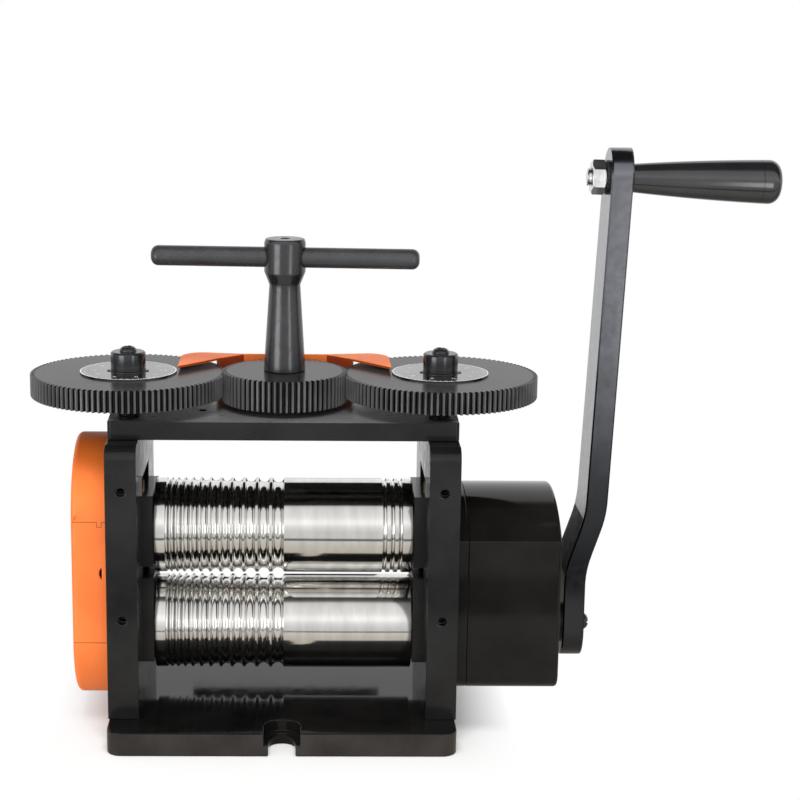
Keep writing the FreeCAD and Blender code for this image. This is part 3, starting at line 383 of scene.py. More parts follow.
def softened(node, name, material, width):
    # a merged copy of a node with its sharp edges broken
    spec = softening
    work = bmesh.new()
    work.from_mesh(nodes[node].data)

    def merge():
        bmesh.ops.remove_doubles(work, verts=work.verts, dist=mergeDistance)

    def sharpEdges(shortest):
        return [edge for edge in work.edges if edge.is_manifold
                and edge.calc_face_angle() > radians(spec["sharp"]) and edge.calc_length() > shortest]

    def breakEdges(edges, offset, segments, clamped):
        bmesh.ops.bevel(work, geom=edges, offset=offset, offset_type="OFFSET", segments=segments,
                        profile=0.5, affect="EDGES", clamp_overlap=clamped)
        merge()

    merge()
    if node not in spec["triangles"]:
        bmesh.ops.dissolve_limit(work, angle_limit=radians(spec["flat"]), verts=work.verts, edges=work.edges)
    if node in spec["wide"]:
        level, wide, near, long = spec["wide"][node]
        breakEdges([edge for edge in sharpEdges(long)
                    if all(abs(vert.co.z - level) < near for vert in edge.verts)], wide, 5, True)
    breakEdges(sharpEdges(spec["shortest"]), width, 2, False)
    piece = shaded(fromMesh(name, work, material), spec["smooth"])
    even = piece.modifiers.new("evenFaces", "WEIGHTED_NORMAL")
    even.keep_sharp = True
    even.weight = 100
    return piece


def onCircle(radius, step, steps):
    turn = 2 * pi * step / steps
    return radius * cos(turn), radius * sin(turn)


def skin(work, rings, steps):
    # faces between rings; a ring of one vertex closes the shape
    for first, second in zip(rings, rings[1:]):
        for step in range(steps):
            after = (step + 1) % steps
            corners = dict.fromkeys((first[step % len(first)], first[after % len(first)],
                                     second[after % len(second)], second[step % len(second)]))
            if len(corners) > 2:
                work.faces.new(list(corners))


def addLathe(work, profile, steps, upright=False, centre=(0, 0, 0)):
    # profile of (along, radius) pairs, closed on the axis at both ends
    rings = []
    for along, radius in profile:
        ring = [onCircle(radius, step, steps) for step in range(steps if radius else 1)]
        rings.append([work.verts.new(Vector(centre) + Vector((u, v, along) if upright else (along, u, v)))
                      for u, v in ring])
    skin(work, rings, steps)
    faceOut(work)


def lathed(name, material, profile, steps, centre=(0, 0, 0)):
    work = bmesh.new()
    addLathe(work, profile, steps, False, centre)
    return fromMesh(name, work, material)


def addBox(work, low, high):
    corners = [work.verts.new((x, y, z)) for z in (low[2], high[2]) for y in (low[1], high[1])
               for x in (low[0], high[0])]
    for face in ((0, 2, 3, 1), (4, 5, 7, 6), (0, 1, 5, 4), (2, 6, 7, 3), (0, 4, 6, 2), (1, 3, 7, 5)):
        work.faces.new([corners[index] for index in face])


def newTree(name, inputs):
    # an input for the points, for each named value and for the material
    tree = bpy.data.node_groups.new(name, "GeometryNodeTree")
    kinds = {int: "Int", float: "Float", tuple: "Vector"}

    def addSocket(label, kind, way="INPUT"):
        return tree.interface.new_socket(label, in_out=way, socket_type="NodeSocket" + kind)

    addSocket("Geometry", "Geometry", "OUTPUT")
    addSocket("Geometry", "Geometry")
    for label, value in inputs.items():
        addSocket(label, kinds[type(value)]).default_value = value
    addSocket("Material", "Material")
    entry = tree.nodes.new("NodeGroupInput")
    leave = tree.nodes.new("NodeGroupOutput")
    return tree, lambda label: Output(entry.outputs[label]), leave.inputs["Geometry"]


def chosen(index, values):
    # one of several numbers, picked by an index
    switch = addNode(index.tree, "GeometryNodeIndexSwitch", data_type="FLOAT")
    while len(switch.index_switch_items) < len(values):
        switch.index_switch_items.new()
    plug(index, switch.inputs["Index"])
    for place, value in enumerate(values):
        plug(value, switch.inputs[str(place)])
    return Output(switch.outputs["Output"])


def polar(reach, angle, **rise):
    return made(angle.tree, "ShaderNodeCombineXYZ", {
        "X": reach * worked("COSINE", angle), "Y": reach * worked("SINE", angle), **rise})


def welded(geometry):
    return made(geometry.tree, "GeometryNodeMergeByDistance",
                {"Geometry": geometry, "Distance": mergeDistance})


def repeated(given, geometry, out, **turned):
    # the geometry on every point that the tree is given, as real mesh
    tree = geometry.tree
    cloud = made(tree, "GeometryNodeInstanceOnPoints",
                 {"Points": given("Geometry"), "Instance": geometry, **turned})
    real = made(tree, "GeometryNodeRealizeInstances", {"Geometry": cloud})
    plug(made(tree, "GeometryNodeSetMaterial", {"Geometry": real, "Material": given("Material")}), out)


def meshOf(holder):
    # the evaluated object as a plain mesh
    bpy.context.view_layer.update()
    graph = bpy.context.evaluated_depsgraph_get()
    return bpy.data.meshes.new_from_object(holder.evaluated_get(graph), depsgraph=graph)


def grown(name, tree, values, places):
    # runs a tree on a mesh of places and keeps the result as a plain mesh
    seed = bpy.data.meshes.new(name + "Seed")
    seed.from_pydata([Vector(place) for place in places], [], [])
    holder = linked(name + "Seed", seed)
    modifier = holder.modifiers.new("grow", "NODES")
    modifier.node_group = tree
    sockets = {item.name: item.identifier for item in tree.interface.items_tree
               if item.item_type == "SOCKET" and item.in_out == "INPUT"}
    for label, value in values.items():
        modifier[sockets[label]] = value
    mesh = meshOf(holder)
    mesh.name = name
    holder.modifiers.remove(modifier)
    bpy.data.objects.remove(holder)
    # an empty slot can come along with the tree's own material
    piece = addObject(name, mesh, *[finish for finish in mesh.materials if finish is not None])
    for face in mesh.polygons:
        face.material_index = 0
    return piece


def makeGearTree():
    tree, given, out = newTree("spurGear", {
        "Teeth": 66, "Module": 0.001, "Width": 0.012, "Thinning": 0.0001, "Phase": 0.0, "Chamfer": 0.0004})
    pitchRadius = given("Teeth") * given("Module") * 0.5
    root = pitchRadius - given("Module") * 1.25
    tip = pitchRadius + given("Module")
    inner = pitchRadius - given("Module") * 1.05
    # half widths of a tooth as shares of one pitch, from root to tip and back
    halves = (-0.40, -0.345, -0.25, -0.15, 0.15, 0.25, 0.345, 0.40)
    corners = len(halves)
    outline = made(tree, "GeometryNodeMeshCircle", {"Vertices": given("Teeth") * corners, "Radius": 1.0},
                   fill_type="NGON")
    index = made(tree, "GeometryNodeInputIndex")
    spot = index % corners
    tooth = worked("FLOOR", index / corners)
    thin = given("Thinning") / (given("Module") * (2 * pi))
    reach = chosen(spot, [root, inner, pitchRadius, tip, tip, pitchRadius, inner, root])
    turn = tooth + chosen(spot, [half - thin * copysign(1, half) for half in halves])
    where = polar(reach, turn / given("Teeth") * (2 * pi) + given("Phase"))
    shaped = made(tree, "GeometryNodeSetPosition", {"Geometry": outline, "Position": where})
    inset = 1.0 - given("Chamfer") / tip
    size = made(tree, "ShaderNodeCombineXYZ", {"X": inset, "Y": inset, "Z": 1.0})
    level = made(tree, "GeometryNodeTransform", {"Geometry": shaped, "Scale": size})
    floor = made(tree, "GeometryNodeFlipFaces", {"Mesh": level})
    straight = given("Width") - given("Chamfer") * 2.0
    faces = None
    for height, scale in ((given("Chamfer"), 1.0 / inset), (straight, None), (given("Chamfer"), inset)):
        step = addNode(tree, "GeometryNodeExtrudeMesh", {"Mesh": level, "Offset Scale": height}, mode="FACES")
        if faces:
            plug(faces, step.inputs["Selection"])
        level, faces = [Output(step.outputs[label]) for label in ("Mesh", "Top")]
        if scale:
            level = made(tree, "GeometryNodeScaleElements", {
                "Geometry": level, "Selection": faces, "Scale": scale,
                "Center": made(tree, "ShaderNodeCombineXYZ")}, domain="FACE")
    joined = addNode(tree, "GeometryNodeJoinGeometry", {"Geometry": level})
    plug(floor, joined.inputs["Geometry"])
    repeated(given, welded(Output(joined.outputs["Geometry"])), out)
    return tree


gearTree = makeGearTree()
gearSizes = {"Module": 1.0 * mm, "Thinning": 0.07 * mm, "Chamfer": 0.35 * mm}
gearFace = ((0.014, 0.014, 0.0145), (0.024, 0.024, 0.025), (0.14, 0.24), 0, 0.07)


def makeGear(node, body, teeth, phase):
    low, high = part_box(node)
    centre = Vector(((low.x + high.x) / 2, (low.y + high.y) / 2, low.z))
    gear = grown(node + "Toothed", gearTree, {
        **gearSizes, "Teeth": teeth, "Width": high.z - low.z, "Phase": radians(phase),
        "Material": turnedSteel(node + "TurnedFace", centre, *gearFace)}, [centre])
    gear.data.materials.append(toothGapShade)
    gear.data.materials.append(toothTipHighlight)
    outer = (teeth / 2 + 0.1) * gearSizes["Module"]
    for polygon in gear.data.polygons:
        polygon.use_smooth = False
        # tooth faces get the painted shade, and those beyond the pitch circle the painted highlight
        if len(polygon.vertices) <= 8:
            polygon.material_index = 2 if (polygon.center - centre).xy.length > outer else 1
    return placed(gear, body, "gear_steel", node)


makeGear("left_adjusting_gear", "left_screw", 104, 180 / 104)
makeGear("right_adjusting_gear", "right_screw", 104, 180 + 180 / 104)
makeGear("centre_gear", "handle", 66, 0)
print("adjusting gears made")

rollShape = {
    "radius": 26.0 * mm,
    "half": 70.6 * mm,
    "edge": 0.6 * mm,
    "rounding": ((0, 1.2), (0.12, 0.6), (0.5, 0.12), (1.1, 0)),      # in and down, as shares of the edge
    "journal": 13.0 * mm,
    "leftEnd": (-95 * mm, 9 * mm),
    "grooves": 12,
    "margin": 7.25 * mm,
    "pitch": 3.1 * mm,
    "growth": 0.475 * mm,
    "fill": 0.78,
    "depth": 0.40,
    "arc": 0.965,                    # how much of the groove's arc is left under its lips
    "arcSteps": 6,
    "lip": 0.16 * mm,
    "lipShape": ((1.1, 0), (0.35, 0.2)),     # out and down, as shares of the lip
    "roundMargin": 6.9 * mm,
    "roundPitch": 4.3 * mm,
    "roundRadius": 1.2 * mm,
    "steps": 176,
}


def grooveProfile(spec):
    # a run of half round grooves whose lips are rolled over
    points = []
    radius, lip = spec["radius"], spec["lip"]
    centre, pitch = spec["margin"] - spec["half"], spec["pitch"]
    for _ in range(spec["grooves"]):
        width = spec["fill"] * (pitch - spec["growth"] / 2)
        depth = spec["depth"] * width
        bend = (width * width / 4 + depth * depth) / (2 * depth)
        reach = asin(width / 2 / bend)
        left, right = [[(centre + hand * width / 2 + hand * lip * out, radius - lip * down)
                        for out, down in spec["lipShape"]] for hand in (-1, 1)]
        points += left
        for step in range(-spec["arcSteps"], spec["arcSteps"] + 1):
            turn = reach * step / spec["arcSteps"] * spec["arc"]
            points.append((centre + bend * sin(turn), radius - depth + bend * (1 - cos(turn))))
        points += reversed(right)
        centre += pitch
        pitch += spec["growth"]
    return points


def roundGrooves(spec, count):
    points = []
    radius = spec["roundRadius"]
    for step in reversed(range(count)):
        middle = spec["half"] - spec["roundMargin"] - step * spec["roundPitch"]
        points += [(middle - radius * cos(radians(turn)), spec["radius"] - radius * sin(radians(turn)))
                   for turn in range(0, 181, 20)]
    return points


def makeRoll(node, rounds, tail, last):
    # tail: the steps of the right end; last: the shaft's radius at its very end
    spec = rollShape
    low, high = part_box(node)
    edge = [(-spec["half"] + spec["edge"] * inward, spec["radius"] - spec["edge"] * down)
            for inward, down in spec["rounding"]]
    shoulder, thin = spec["leftEnd"]
    profile = [(low.x, 0), (low.x, thin), (shoulder, thin), (shoulder, spec["journal"]),
               (-spec["half"], spec["journal"]), *edge, *grooveProfile(spec), *roundGrooves(spec, rounds),
               *[(-along, radius) for along, radius in reversed(edge)], (spec["half"], spec["journal"]),
               *[(along * mm, radius * mm) for along, radius in tail], (high.x, last * mm), (high.x, 0)]
    roll = lathed(node + "Ground", rollSteel(node + "Polish", rollPolish), profile, spec["steps"],
                  (0, 0, (low.z + high.z) / 2))
    return placed(shaded(roll, 62), node, "roll_steel", node)


makeRoll("upper_roll", 3, (), 13)
makeRoll("lower_roll", 0, ((92, 13), (92, 11), (101, 11), (101, 9)), 9)
print("rolls made")

# node: finish, width of the broken edge, body, slot
brokenEdges = {
    "base_plate": (enamel, 0.7 * mm, "frame", "black_enamel"),
    "left_side_plate": (enamelSatin, 0.35 * mm, "frame", "black_enamel"),
    "right_side_plate": (enamelSatin, 0.35 * mm, "frame", "black_enamel"),
    "top_plate": (enamelSatin, 0.4 * mm, "frame", "black_enamel"),
    "gearbox_plate": (boxEnamel, 0.45 * mm, "frame", "black_enamel"),
    "gearbox_housing": (boxEnamel, 0.5 * mm, "frame", "black_enamel"),
    "left_gear_cover": (orange, 0.5 * mm, "frame", "orange_paint"),
    "gear_guard": (orange, 0.4 * mm, "frame", "orange_paint"),
    "handle_hub": (handleSteel, 0.5 * mm, "handle", "dark_steel"),
    "grip_nut": (zincPlate, 0.25 * mm, "crank", "zinc"),
}
# a second finish, by which way a face looks and where it is: painted light on the base's front rim
# and on the top plate's upper face, and painted shade on the guard's slanted walls
paintedLightAndShade = {
    "base_plate": (baseFrontPaintedLight, lambda way, at: abs(way.z) < 0.35 and way.y < -0.35 and at.y < -70 * mm),
    "top_plate": (topFacePaintedLight, lambda way, at: way.z > 0.9 and at.z > 171 * mm),
    "gear_guard": (guardWallPaintedShade, lambda way, at: 0.3 < abs(way.x) < 0.95 and abs(way.z) < 0.3),
}
for node, (finish, width, body, slot) in brokenEdges.items():
    piece = softened(node, node + "Finished", finish, width)
    if node in paintedLightAndShade:
        second, belongs = paintedLightAndShade[node]
        piece.data.materials.append(second)
        for face in piece.data.polygons:
            face.material_index = int(belongs(face.normal, face.center))
    placed(piece, body, slot, node)
print("plates and covers made")

armShape = {
    "thickness": 11.7 * mm, "foot": 18.4 * mm, "head": 16.1 * mm, "edge": 0.8 * mm, "axis": 49.4 * mm,
    "throw": 248.8 * mm, "left": 154.4 * mm, "bends": (34.6 * mm, 65.6 * mm), "shift": 10.25 * mm,
    "lean": 2.4, "roll": 8.0 * mm, "rollSteps": 8,
    "footTurns": range(4, 90, 6), "headTurns": range(6, 89, 6),      # degrees round the two ends
    "step": 4 * mm, "steps": 24, "upper": 30 * mm, "upperSteps": 6,
}


def makeArm(spec):
    # rectangular bar with rolled bends, round at both ends when seen from the side
    foot, head, axis, roll = [spec[name] for name in ("foot", "head", "axis", "roll")]
    top = axis + spec["throw"]
    first, second = [axis + bend for bend in spec["bends"]]
    lean = tan(radians(spec["lean"]))
    middle = spec["left"] + spec["thickness"] / 2

    def rawLine(z):
        if z < first:
            return middle
        if z < second:
            return middle + spec["shift"] * (z - first) / (second - first)
        return middle + spec["shift"] + (z - second) * lean

    def line(z):
        # the bends are rolled: an average of the raw line over a short length
        if min(abs(z - first), abs(z - second)) >= roll * 1.01:
            return rawLine(z)
        count = spec["rollSteps"]
        spots = [rawLine(z + roll * (step / count - 1)) for step in range(2 * count + 1)]
        return sum(spots) / len(spots)

    def halfWidth(z):
        if z < axis:
            return sqrt(max(foot ** 2 - (z - axis) ** 2, 0))
        if z > top:
            return sqrt(max(head ** 2 - (z - top) ** 2, 0))
        return foot + (head - foot) * ((z - axis) / spec["throw"])

    straight = second + spec["upper"]
    levels = [axis - foot * cos(radians(turn)) for turn in spec["footTurns"]]
    levels += [axis + spec["step"] * step for step in range(spec["steps"])]
    upper = spec["upperSteps"]
    levels += [straight + (top - straight) * step / upper for step in range(1, upper + 1)]
    levels += [top + head * sin(radians(turn)) for turn in spec["headTurns"]]
    work = bmesh.new()
    thick = spec["thickness"] / 2
    rings = []
    for z in sorted(set(round(level, 7) for level in levels)):
        x, half = line(z), halfWidth(z)
        cut = min(spec["edge"], half * 0.45)
        ring = [(-thick + cut, -half), (thick - cut, -half), (thick, -half + cut), (thick, half - cut),
                (thick - cut, half), (-thick + cut, half), (-thick, half - cut), (-thick, -half + cut)]
        rings.append([work.verts.new((x + u, v, z)) for u, v in ring])
    skin(work, rings, 8)
    work.faces.new(rings[0][::-1])
    work.faces.new(rings[-1])
    faceOut(work)
    arm = fromMesh("crankArmForged", work, makeArmFinish(armFinish))
    arm.data.materials.append(bendPaintedShade)
    # the left faces in the bends get the painted shade
    for face in arm.data.polygons:
        inBend = first - 2 * mm < face.center.z < second - 2 * mm
        if face.normal.x < -0.7 and inBend:
            face.material_index = 1
    return placed(shaded(arm, 28), "crank", "dark_steel", "crank_arm")


makeArm(armShape)

pivot = {"place": (178.178 * mm, 0, 298.2 * mm), "tilt": 1.2}


def onPivot(piece):
    # made along X at the origin, then laid on the grip's own axis in the mesh itself
    turn = Matrix.Rotation(radians(pivot["tilt"]), 4, "Y")
    piece.data.transform(Matrix.Translation(pivot["place"]) @ turn)
    piece.data.update()
    return piece


gripShape = {
    "start": 7.1 * mm, "length": 73.5 * mm, "nose": 6.3 * mm, "first": 7.6 * mm, "middle": 10.4 * mm,
    "middleAt": 39.0 * mm, "last": 11.8 * mm, "corner": 0.4 * mm, "line": 69.0 * mm, "lineWidth": 0.5 * mm,
    "lineDepth": 0.25 * mm, "rings": 20, "steps": 96,
}


def makeGrip(spec):
    # a circle through the start, the middle and the end of the taper
    length, nose, last = spec["length"], spec["nose"], spec["last"]
    (x1, y1), (x2, y2), (x3, y3) = (0.0, spec["first"]), (spec["middleAt"], spec["middle"]), (length, last)
    first, second, third = [x ** 2 + y ** 2 for x, y in ((x1, y1), (x2, y2), (x3, y3))]
    area = 2 * (x1 * (y2 - y3) + x2 * (y3 - y1) + x3 * (y1 - y2))
    cx = (first * (y2 - y3) + second * (y3 - y1) + third * (y1 - y2)) / area
    cy = (first * (x3 - x2) + second * (x1 - x3) + third * (x2 - x1)) / area
    reach = hypot(x1 - cx, y1 - cy)

    def radius(x):
        return cy + reach * sqrt(1 - ((x - cx) / reach) ** 2)

    corner = spec["corner"]
    spots = [(corner, radius(corner))]
    spots += [(x, radius(x)) for x in [length * step / spec["rings"] for step in range(1, spec["rings"] + 1)]]
    for offset, drop in ((-1, 0), (-0.5, 1), (0.5, 1), (1, 0)):
        x = spec["line"] + offset * spec["lineWidth"] / 2
        spots.append((x, radius(x) - drop * spec["lineDepth"]))
    for angle in [radians(turn) for turn in range(10, 91, 10)]:
        spots.append((length + nose * sin(angle), last - nose * (1 - cos(angle))))
    spots = [(0.0, 0.0), (0.0, spec["first"] - corner), *sorted(spots), (length + nose, 0.0)]
    profile = [(spec["start"] + x, r) for x, r in spots]
    grip = shaded(onPivot(lathed("gripTurned", gripPlastic, profile, spec["steps"])), 40)
    return placed(grip, "grip", "grip_black", "grip")


makeGrip(gripShape)
print("arm and grip made")


def makeCoilTree():
    # a wire wound along Z: a spring, or the ridge of a thread
    tree, given, out = newTree("woundWire", {
        "Radius": 0.003, "Wire": 0.0005, "Turns": 5.0, "Height": 0.01, "Sides": 6, "Steps": 20,
        "Turn": (0.0, 0.0, 0.0)})
    path = made(tree, "GeometryNodeCurveSpiral", {
        "Resolution": given("Steps"), "Rotations": given("Turns"), "Start Radius": given("Radius"),
        "End Radius": given("Radius"), "Height": given("Height")})
    section = made(tree, "GeometryNodeCurvePrimitiveCircle",
                   {"Resolution": given("Sides"), "Radius": given("Wire")})
    wire = made(tree, "GeometryNodeCurveToMesh", {"Curve": path, "Profile Curve": section, "Fill Caps": True})
    repeated(given, wire, out, Rotation=given("Turn"))
    return tree


coilTree = makeCoilTree()


def makeCoils(name, spec, places, turn, finish):
    return shaded(facedOut(grown(name, coilTree, {**spec, "Turn": turn, "Material": finish}, places)), 50)


springs = {"Radius": 3.05 * mm, "Wire": 0.72 * mm, "Turns": 4.5, "Height": 12.9 * mm,
           "Sides": 10, "Steps": 32}
holeThreads = {"Radius": 2.72 * mm, "Wire": 0.20 * mm, "Turns": 14.0, "Height": 13.0 * mm,
               "Sides": 3, "Steps": 18}
studThread = {"Radius": 4.55 * mm, "Wire": 0.42 * mm, "Turns": 5.5, "Height": 6.2 * mm,
              "Sides": 4, "Steps": 28}
plateMiddle = 84.75 * mm
springSeat = (17 * mm, 75.55 * mm)               # from the middle to the front, and height
tappedHoles = (57.6 * mm, (67.8 * mm, 137.9 * mm))   # how far from the middle they start, and heights

springPlaces = [(x * plateMiddle, y * springSeat[0], springSeat[1]) for x in (-1, 1) for y in (-1, 1)]
placed(makeCoils("returnSpringsWound", springs, springPlaces, (0, 0, 0), springSteel),
       "frame", "machined_steel", "return_springs")
for label, side in (("front", -1), ("rear", 1)):
    holePlaces = [(x * plateMiddle, side * tappedHoles[0], z) for x in (-1, 1) for z in tappedHoles[1]]
    placed(makeCoils(label + "HoleThreads", holeThreads, holePlaces, (radians(side * 90), 0, 0), screwSteel),
           "frame", "black_enamel")

studShape = {
    "end": -16.85 * mm, "tip": 3.5 * mm, "bevel": 0.7 * mm, "core": 4.3 * mm, "full": 5.0 * mm,
    "runOut": (-12.0 * mm, -11.6 * mm), "ridgeFrom": -16.7 * mm, "face": 5.6 * mm,
    # radius of each step in mm, and how far from the arm's face it reaches
    "steps": ((6.8, 1.2), (5.5, 57.2), (6.1, 59.2), (5.5, 63.2)),
}


def makeStud(spec):
    end, core, full, face = [spec[name] for name in ("end", "core", "full", "face")]
    profile = [(end, 0), (end, spec["tip"]), (end + spec["bevel"], core), (spec["runOut"][0], core),
               (spec["runOut"][1], full), (face, full)]
    start = face
    for radius, reach in spec["steps"]:
        profile += [(start, radius * mm), (face + reach * mm, radius * mm)]
        start = face + reach * mm
    work = bmesh.new()
    addLathe(work, profile + [(start, 0)], 48)
    coil = makeCoils("studRidge", studThread, [(spec["ridgeFrom"], 0, 0)], (0, radians(90), 0), zincPlate)
    work.from_mesh(coil.data)
    bpy.data.objects.remove(coil)
    stud = shaded(onPivot(fromMesh("gripStudThreaded", work, zincPlate)), 40)
    return placed(stud, "crank", "zinc", "grip_stud")


makeStud(studShape)
print("springs and threads made")


def makeScrewTree():
    # a pan head with a cross recess and its shank, head up along Z, seat at the origin
    tree, given, out = newTree("crossScrew", {
        "Head": 0.004, "Height": 0.002, "Shank": 0.002, "Length": 0.01, "Turn": (0.0, 0.0, 0.0)})
    around, down = 48, 13
    sheet = made(tree, "GeometryNodeMeshGrid",
                 {"Size X": 1.0, "Size Y": 1.0, "Vertices X": around + 1, "Vertices Y": down})
    index = made(tree, "GeometryNodeInputIndex")
    column = worked("FLOOR", index / down)
    row = index % down
    dome = [step / 8 for step in range(9)]
    widths = [given("Head") * sin(share * pi / 2) ** 0.85 for share in dome]
    rises = [given("Height") * cos(share * pi / 2) ** 0.8 for share in dome[:-1]]
    radius = chosen(row, widths + [given("Head"), given("Shank"), given("Shank"), 0.0])
    bottom = given("Length") * -1.0
    height = chosen(row, rises + [given("Height") * 0.12, 0.0, 0.0, bottom, bottom])
    # every quarter turn, three columns near the middle are pressed in
    inCross = worked("LESS_THAN", (column + 1.0) % (around / 4), 2.5)
    nearMiddle = worked("LESS_THAN", row, 3.5)
    core = worked("LESS_THAN", row, 1.5)
    sunk = worked("MAXIMUM", inCross * nearMiddle, core) * (given("Height") * 0.5)
    where = polar(radius, column * (2 * pi / around), Z=height - sunk)
    shaped = made(tree, "GeometryNodeSetPosition", {"Geometry": sheet, "Position": where})
    repeated(given, welded(shaped), out, Rotation=given("Turn"))
    return tree


screwTree = makeScrewTree()
# name: head radius, head height, shank radius, length, turn in degrees, body, seats, replaced node
panScrews = {
    "leftCollarScrewHead": (4.6, 2.9, 2.5, 12, (0, 0, 25), "left_screw", [(-85, 0, 202.24)],
                            "left_collar_screw"),
    "rightCollarScrewHead": (4.6, 2.9, 2.5, 12, (0, 0, 70), "right_screw", [(85, 0, 202.24)],
                             "right_collar_screw"),
    "crankScrewHead": (4.9, 4.9, 3.0, 20, (0, 90, 0), "crank", [(166.1, 0, 49.4)], "crank_screw"),
    "coverScrewHeads": (3.5, 0.7, 2.0, 9, (0, -90, 0), "frame", [(-113.4, -28, 75.5), (-113.4, 28, 75.5)],
                        "cover_screws"),
    "guardScrewHeads": (3.4, 1.6, 2.0, 8, (0, 0, 15), "frame", [(-20.5, 32.5, 173.5), (20.5, 32.5, 173.5)],
                        "gear_guard_screws"),
}
for name, (head, height, shank, length, turn, body, seats, node) in panScrews.items():
    screws = grown(name, screwTree, {
        "Head": head * mm, "Height": height * mm, "Shank": shank * mm, "Length": length * mm,
        "Turn": tuple(radians(value) for value in turn), "Material": screwSteel},
        [[value * mm for value in seat] for seat in seats])
    placed(shaded(facedOut(screws), 30), body, "black_screw", node)
print("screws made")

screwAxis = 85 * mm
collarShape = {
    "radius": 9.5 * mm, "low": 191.64 * mm, "high": 202.24 * mm, "chamfer": 0.9 * mm, "line": 1.6 * mm,
    "groove": (0.12 * mm, 0.35 * mm, 0.2 * mm),      # slope, width and depth
    "clip": 10.3 * mm, "clipThick": 0.55 * mm, "ear": 11.2 * mm, "earWidth": 2.4 * mm, "steps": 72,
    "finish": ((0.010, 0.0105, 0.012), (0.018, 0.019, 0.021), (0.16, 0.26), 0, 0.7),
}


def makeCollar(side, label):
    # a turned collar over a thin spring clip with two ears
    spec = collarShape
    x = side * screwAxis
    low, high, radius, cut, clip, thick, width = [
        spec[name] for name in ("low", "high", "radius", "chamfer", "clip", "clipThick", "earWidth")]
    slope, wide, deep = spec["groove"]
    line = low + spec["line"]
    profile = [(low, 0), (low, clip), (low + thick * 0.8, clip), (low + thick, clip - 0.15 * mm),
               (low + thick, radius - 0.5 * mm), (low + thick + 0.3 * mm, radius), (line, radius),
               (line + slope, radius - deep), (line + wide, radius - deep), (line + wide + slope, radius),
               (high - cut, radius), (high - cut * 0.55, radius - cut * 0.3),
               (high - cut * 0.2, radius - cut * 0.68), (high, radius - cut * 1.1), (high, 0)]
    work = bmesh.new()
    addLathe(work, profile, spec["steps"], True, (x, 0, 0))
    for hand in (-1, 1):
        start, end = sorted((x + hand * (radius - 0.5 * mm), x + hand * spec["ear"]))
        addBox(work, (start, -width, low + 0.02 * mm), (end, width * 0.2, low + thick * 0.95))
    faceOut(work)
    finish = turnedSteel(label + "CollarTurned", (x, 0, 0), *spec["finish"])
    collar = shaded(fromMesh(label + "CollarTurned", work, finish), 25)
    return placed(collar, label + "_screw", "black_screw", label + "_collar")


def makeTickTree():
    # short bars that stand round a circle, every nth one longer
    tree, given, out = newTree("dialTicks", {
        "Count": 40, "Radius": 0.02, "Length": 0.001, "Width": 0.0003, "Thickness": 0.00004, "Every": 4,
        "Longer": 1.6})
    ring = made(tree, "GeometryNodeMeshCircle", {"Vertices": given("Count"), "Radius": given("Radius")})
    size = made(tree, "ShaderNodeCombineXYZ",
                {"X": given("Length"), "Y": given("Width"), "Z": given("Thickness")})
    bar = made(tree, "GeometryNodeMeshCube", {"Size": size})
    index = made(tree, "GeometryNodeInputIndex")
    facing = made(tree, "ShaderNodeCombineXYZ", {"Z": index * (2 * pi) / given("Count")})
    major = worked("LESS_THAN", index % given("Every"), 0.5)
    long = major * (given("Longer") - 1.0) + 1.0
    scale = made(tree, "ShaderNodeCombineXYZ", {"X": long, "Y": 1.0, "Z": 1.0})
    bars = made(tree, "GeometryNodeInstanceOnPoints",
                {"Points": ring, "Instance": bar, "Rotation": facing, "Scale": scale})
    repeated(given, made(tree, "GeometryNodeRealizeInstances", {"Geometry": bars}), out)
    return tree


tickTree = makeTickTree()
dialTicks = {"Count": 50, "Radius": 23.9 * mm, "Length": 1.2 * mm, "Width": 0.26 * mm,
             "Thickness": 0.04 * mm, "Every": 5, "Longer": 1.7}
dialMarks = {
    "radius": 26.3 * mm, "height": 191.66 * mm, "steps": 128,
    # the bright turned rim, as mm in from the edge and over the face
    "rim": ((0.05, -0.3), (0.05, -0.05), (0.17, 0.04), (0.75, 0.04), (0.75, -0.1)),
    "numerals": 10, "numeralSize": 4.4 * mm, "numeralRadius": 19.2 * mm,
    "face": ((0.14, 0.14, 0.144), (0.19, 0.19, 0.194), (0.07, 0.14), 1),
}


def numeralMesh(label, number, size):
    text = bpy.data.curves.new(label + "Numeral", "FONT")
    text.body = str(number)
    text.size = size
    text.align_x = text.align_y = "CENTER"
    text.resolution_u = 3
    holder = linked(label + "Numeral", text)
    mesh = meshOf(holder)
    bpy.data.objects.remove(holder)
    return mesh


def makeDial(side, label):
    spec = dialMarks
    x, steps, reach = side * screwAxis, spec["steps"], spec["numeralRadius"]
    disc = nodes[label + "_dial"]
    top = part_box(label + "_dial")[1].z
    refinish(disc.data, turnedSteel(label + "DialSpun", (x, 0, 0), *spec["face"]))
    ticks = grown(label + "Ticks", tickTree, {**dialTicks, "Material": markSilver}, [(x, 0, spec["height"])])
    work = bmesh.new()
    work.from_mesh(ticks.data)
    bpy.data.objects.remove(ticks)
    rings = []
    for inward, over in spec["rim"]:
        ring = [onCircle(spec["radius"] - inward * mm, step, steps) for step in range(steps)]
        rings.append([work.verts.new((x + u, v, top + over * mm)) for u, v in ring])
    skin(work, rings, steps)
    for number in range(spec["numerals"]):
        mesh = numeralMesh(label, number, spec["numeralSize"])
        angle = 2 * pi * (number + 0.5) / spec["numerals"] - pi / 2
        mesh.transform(Matrix.Translation((x + reach * cos(angle), reach * sin(angle), spec["height"]))
                       @ Matrix.Rotation(angle + pi / 2, 4, "Z"))
        work.from_mesh(mesh)
    return placed(fromMesh(label + "DialMarks", work, markSilver), label + "_screw", "dial_metal")


for make in (makeCollar, makeDial):
    make(-1, "left")
    make(1, "right")
print("collars and dials made")

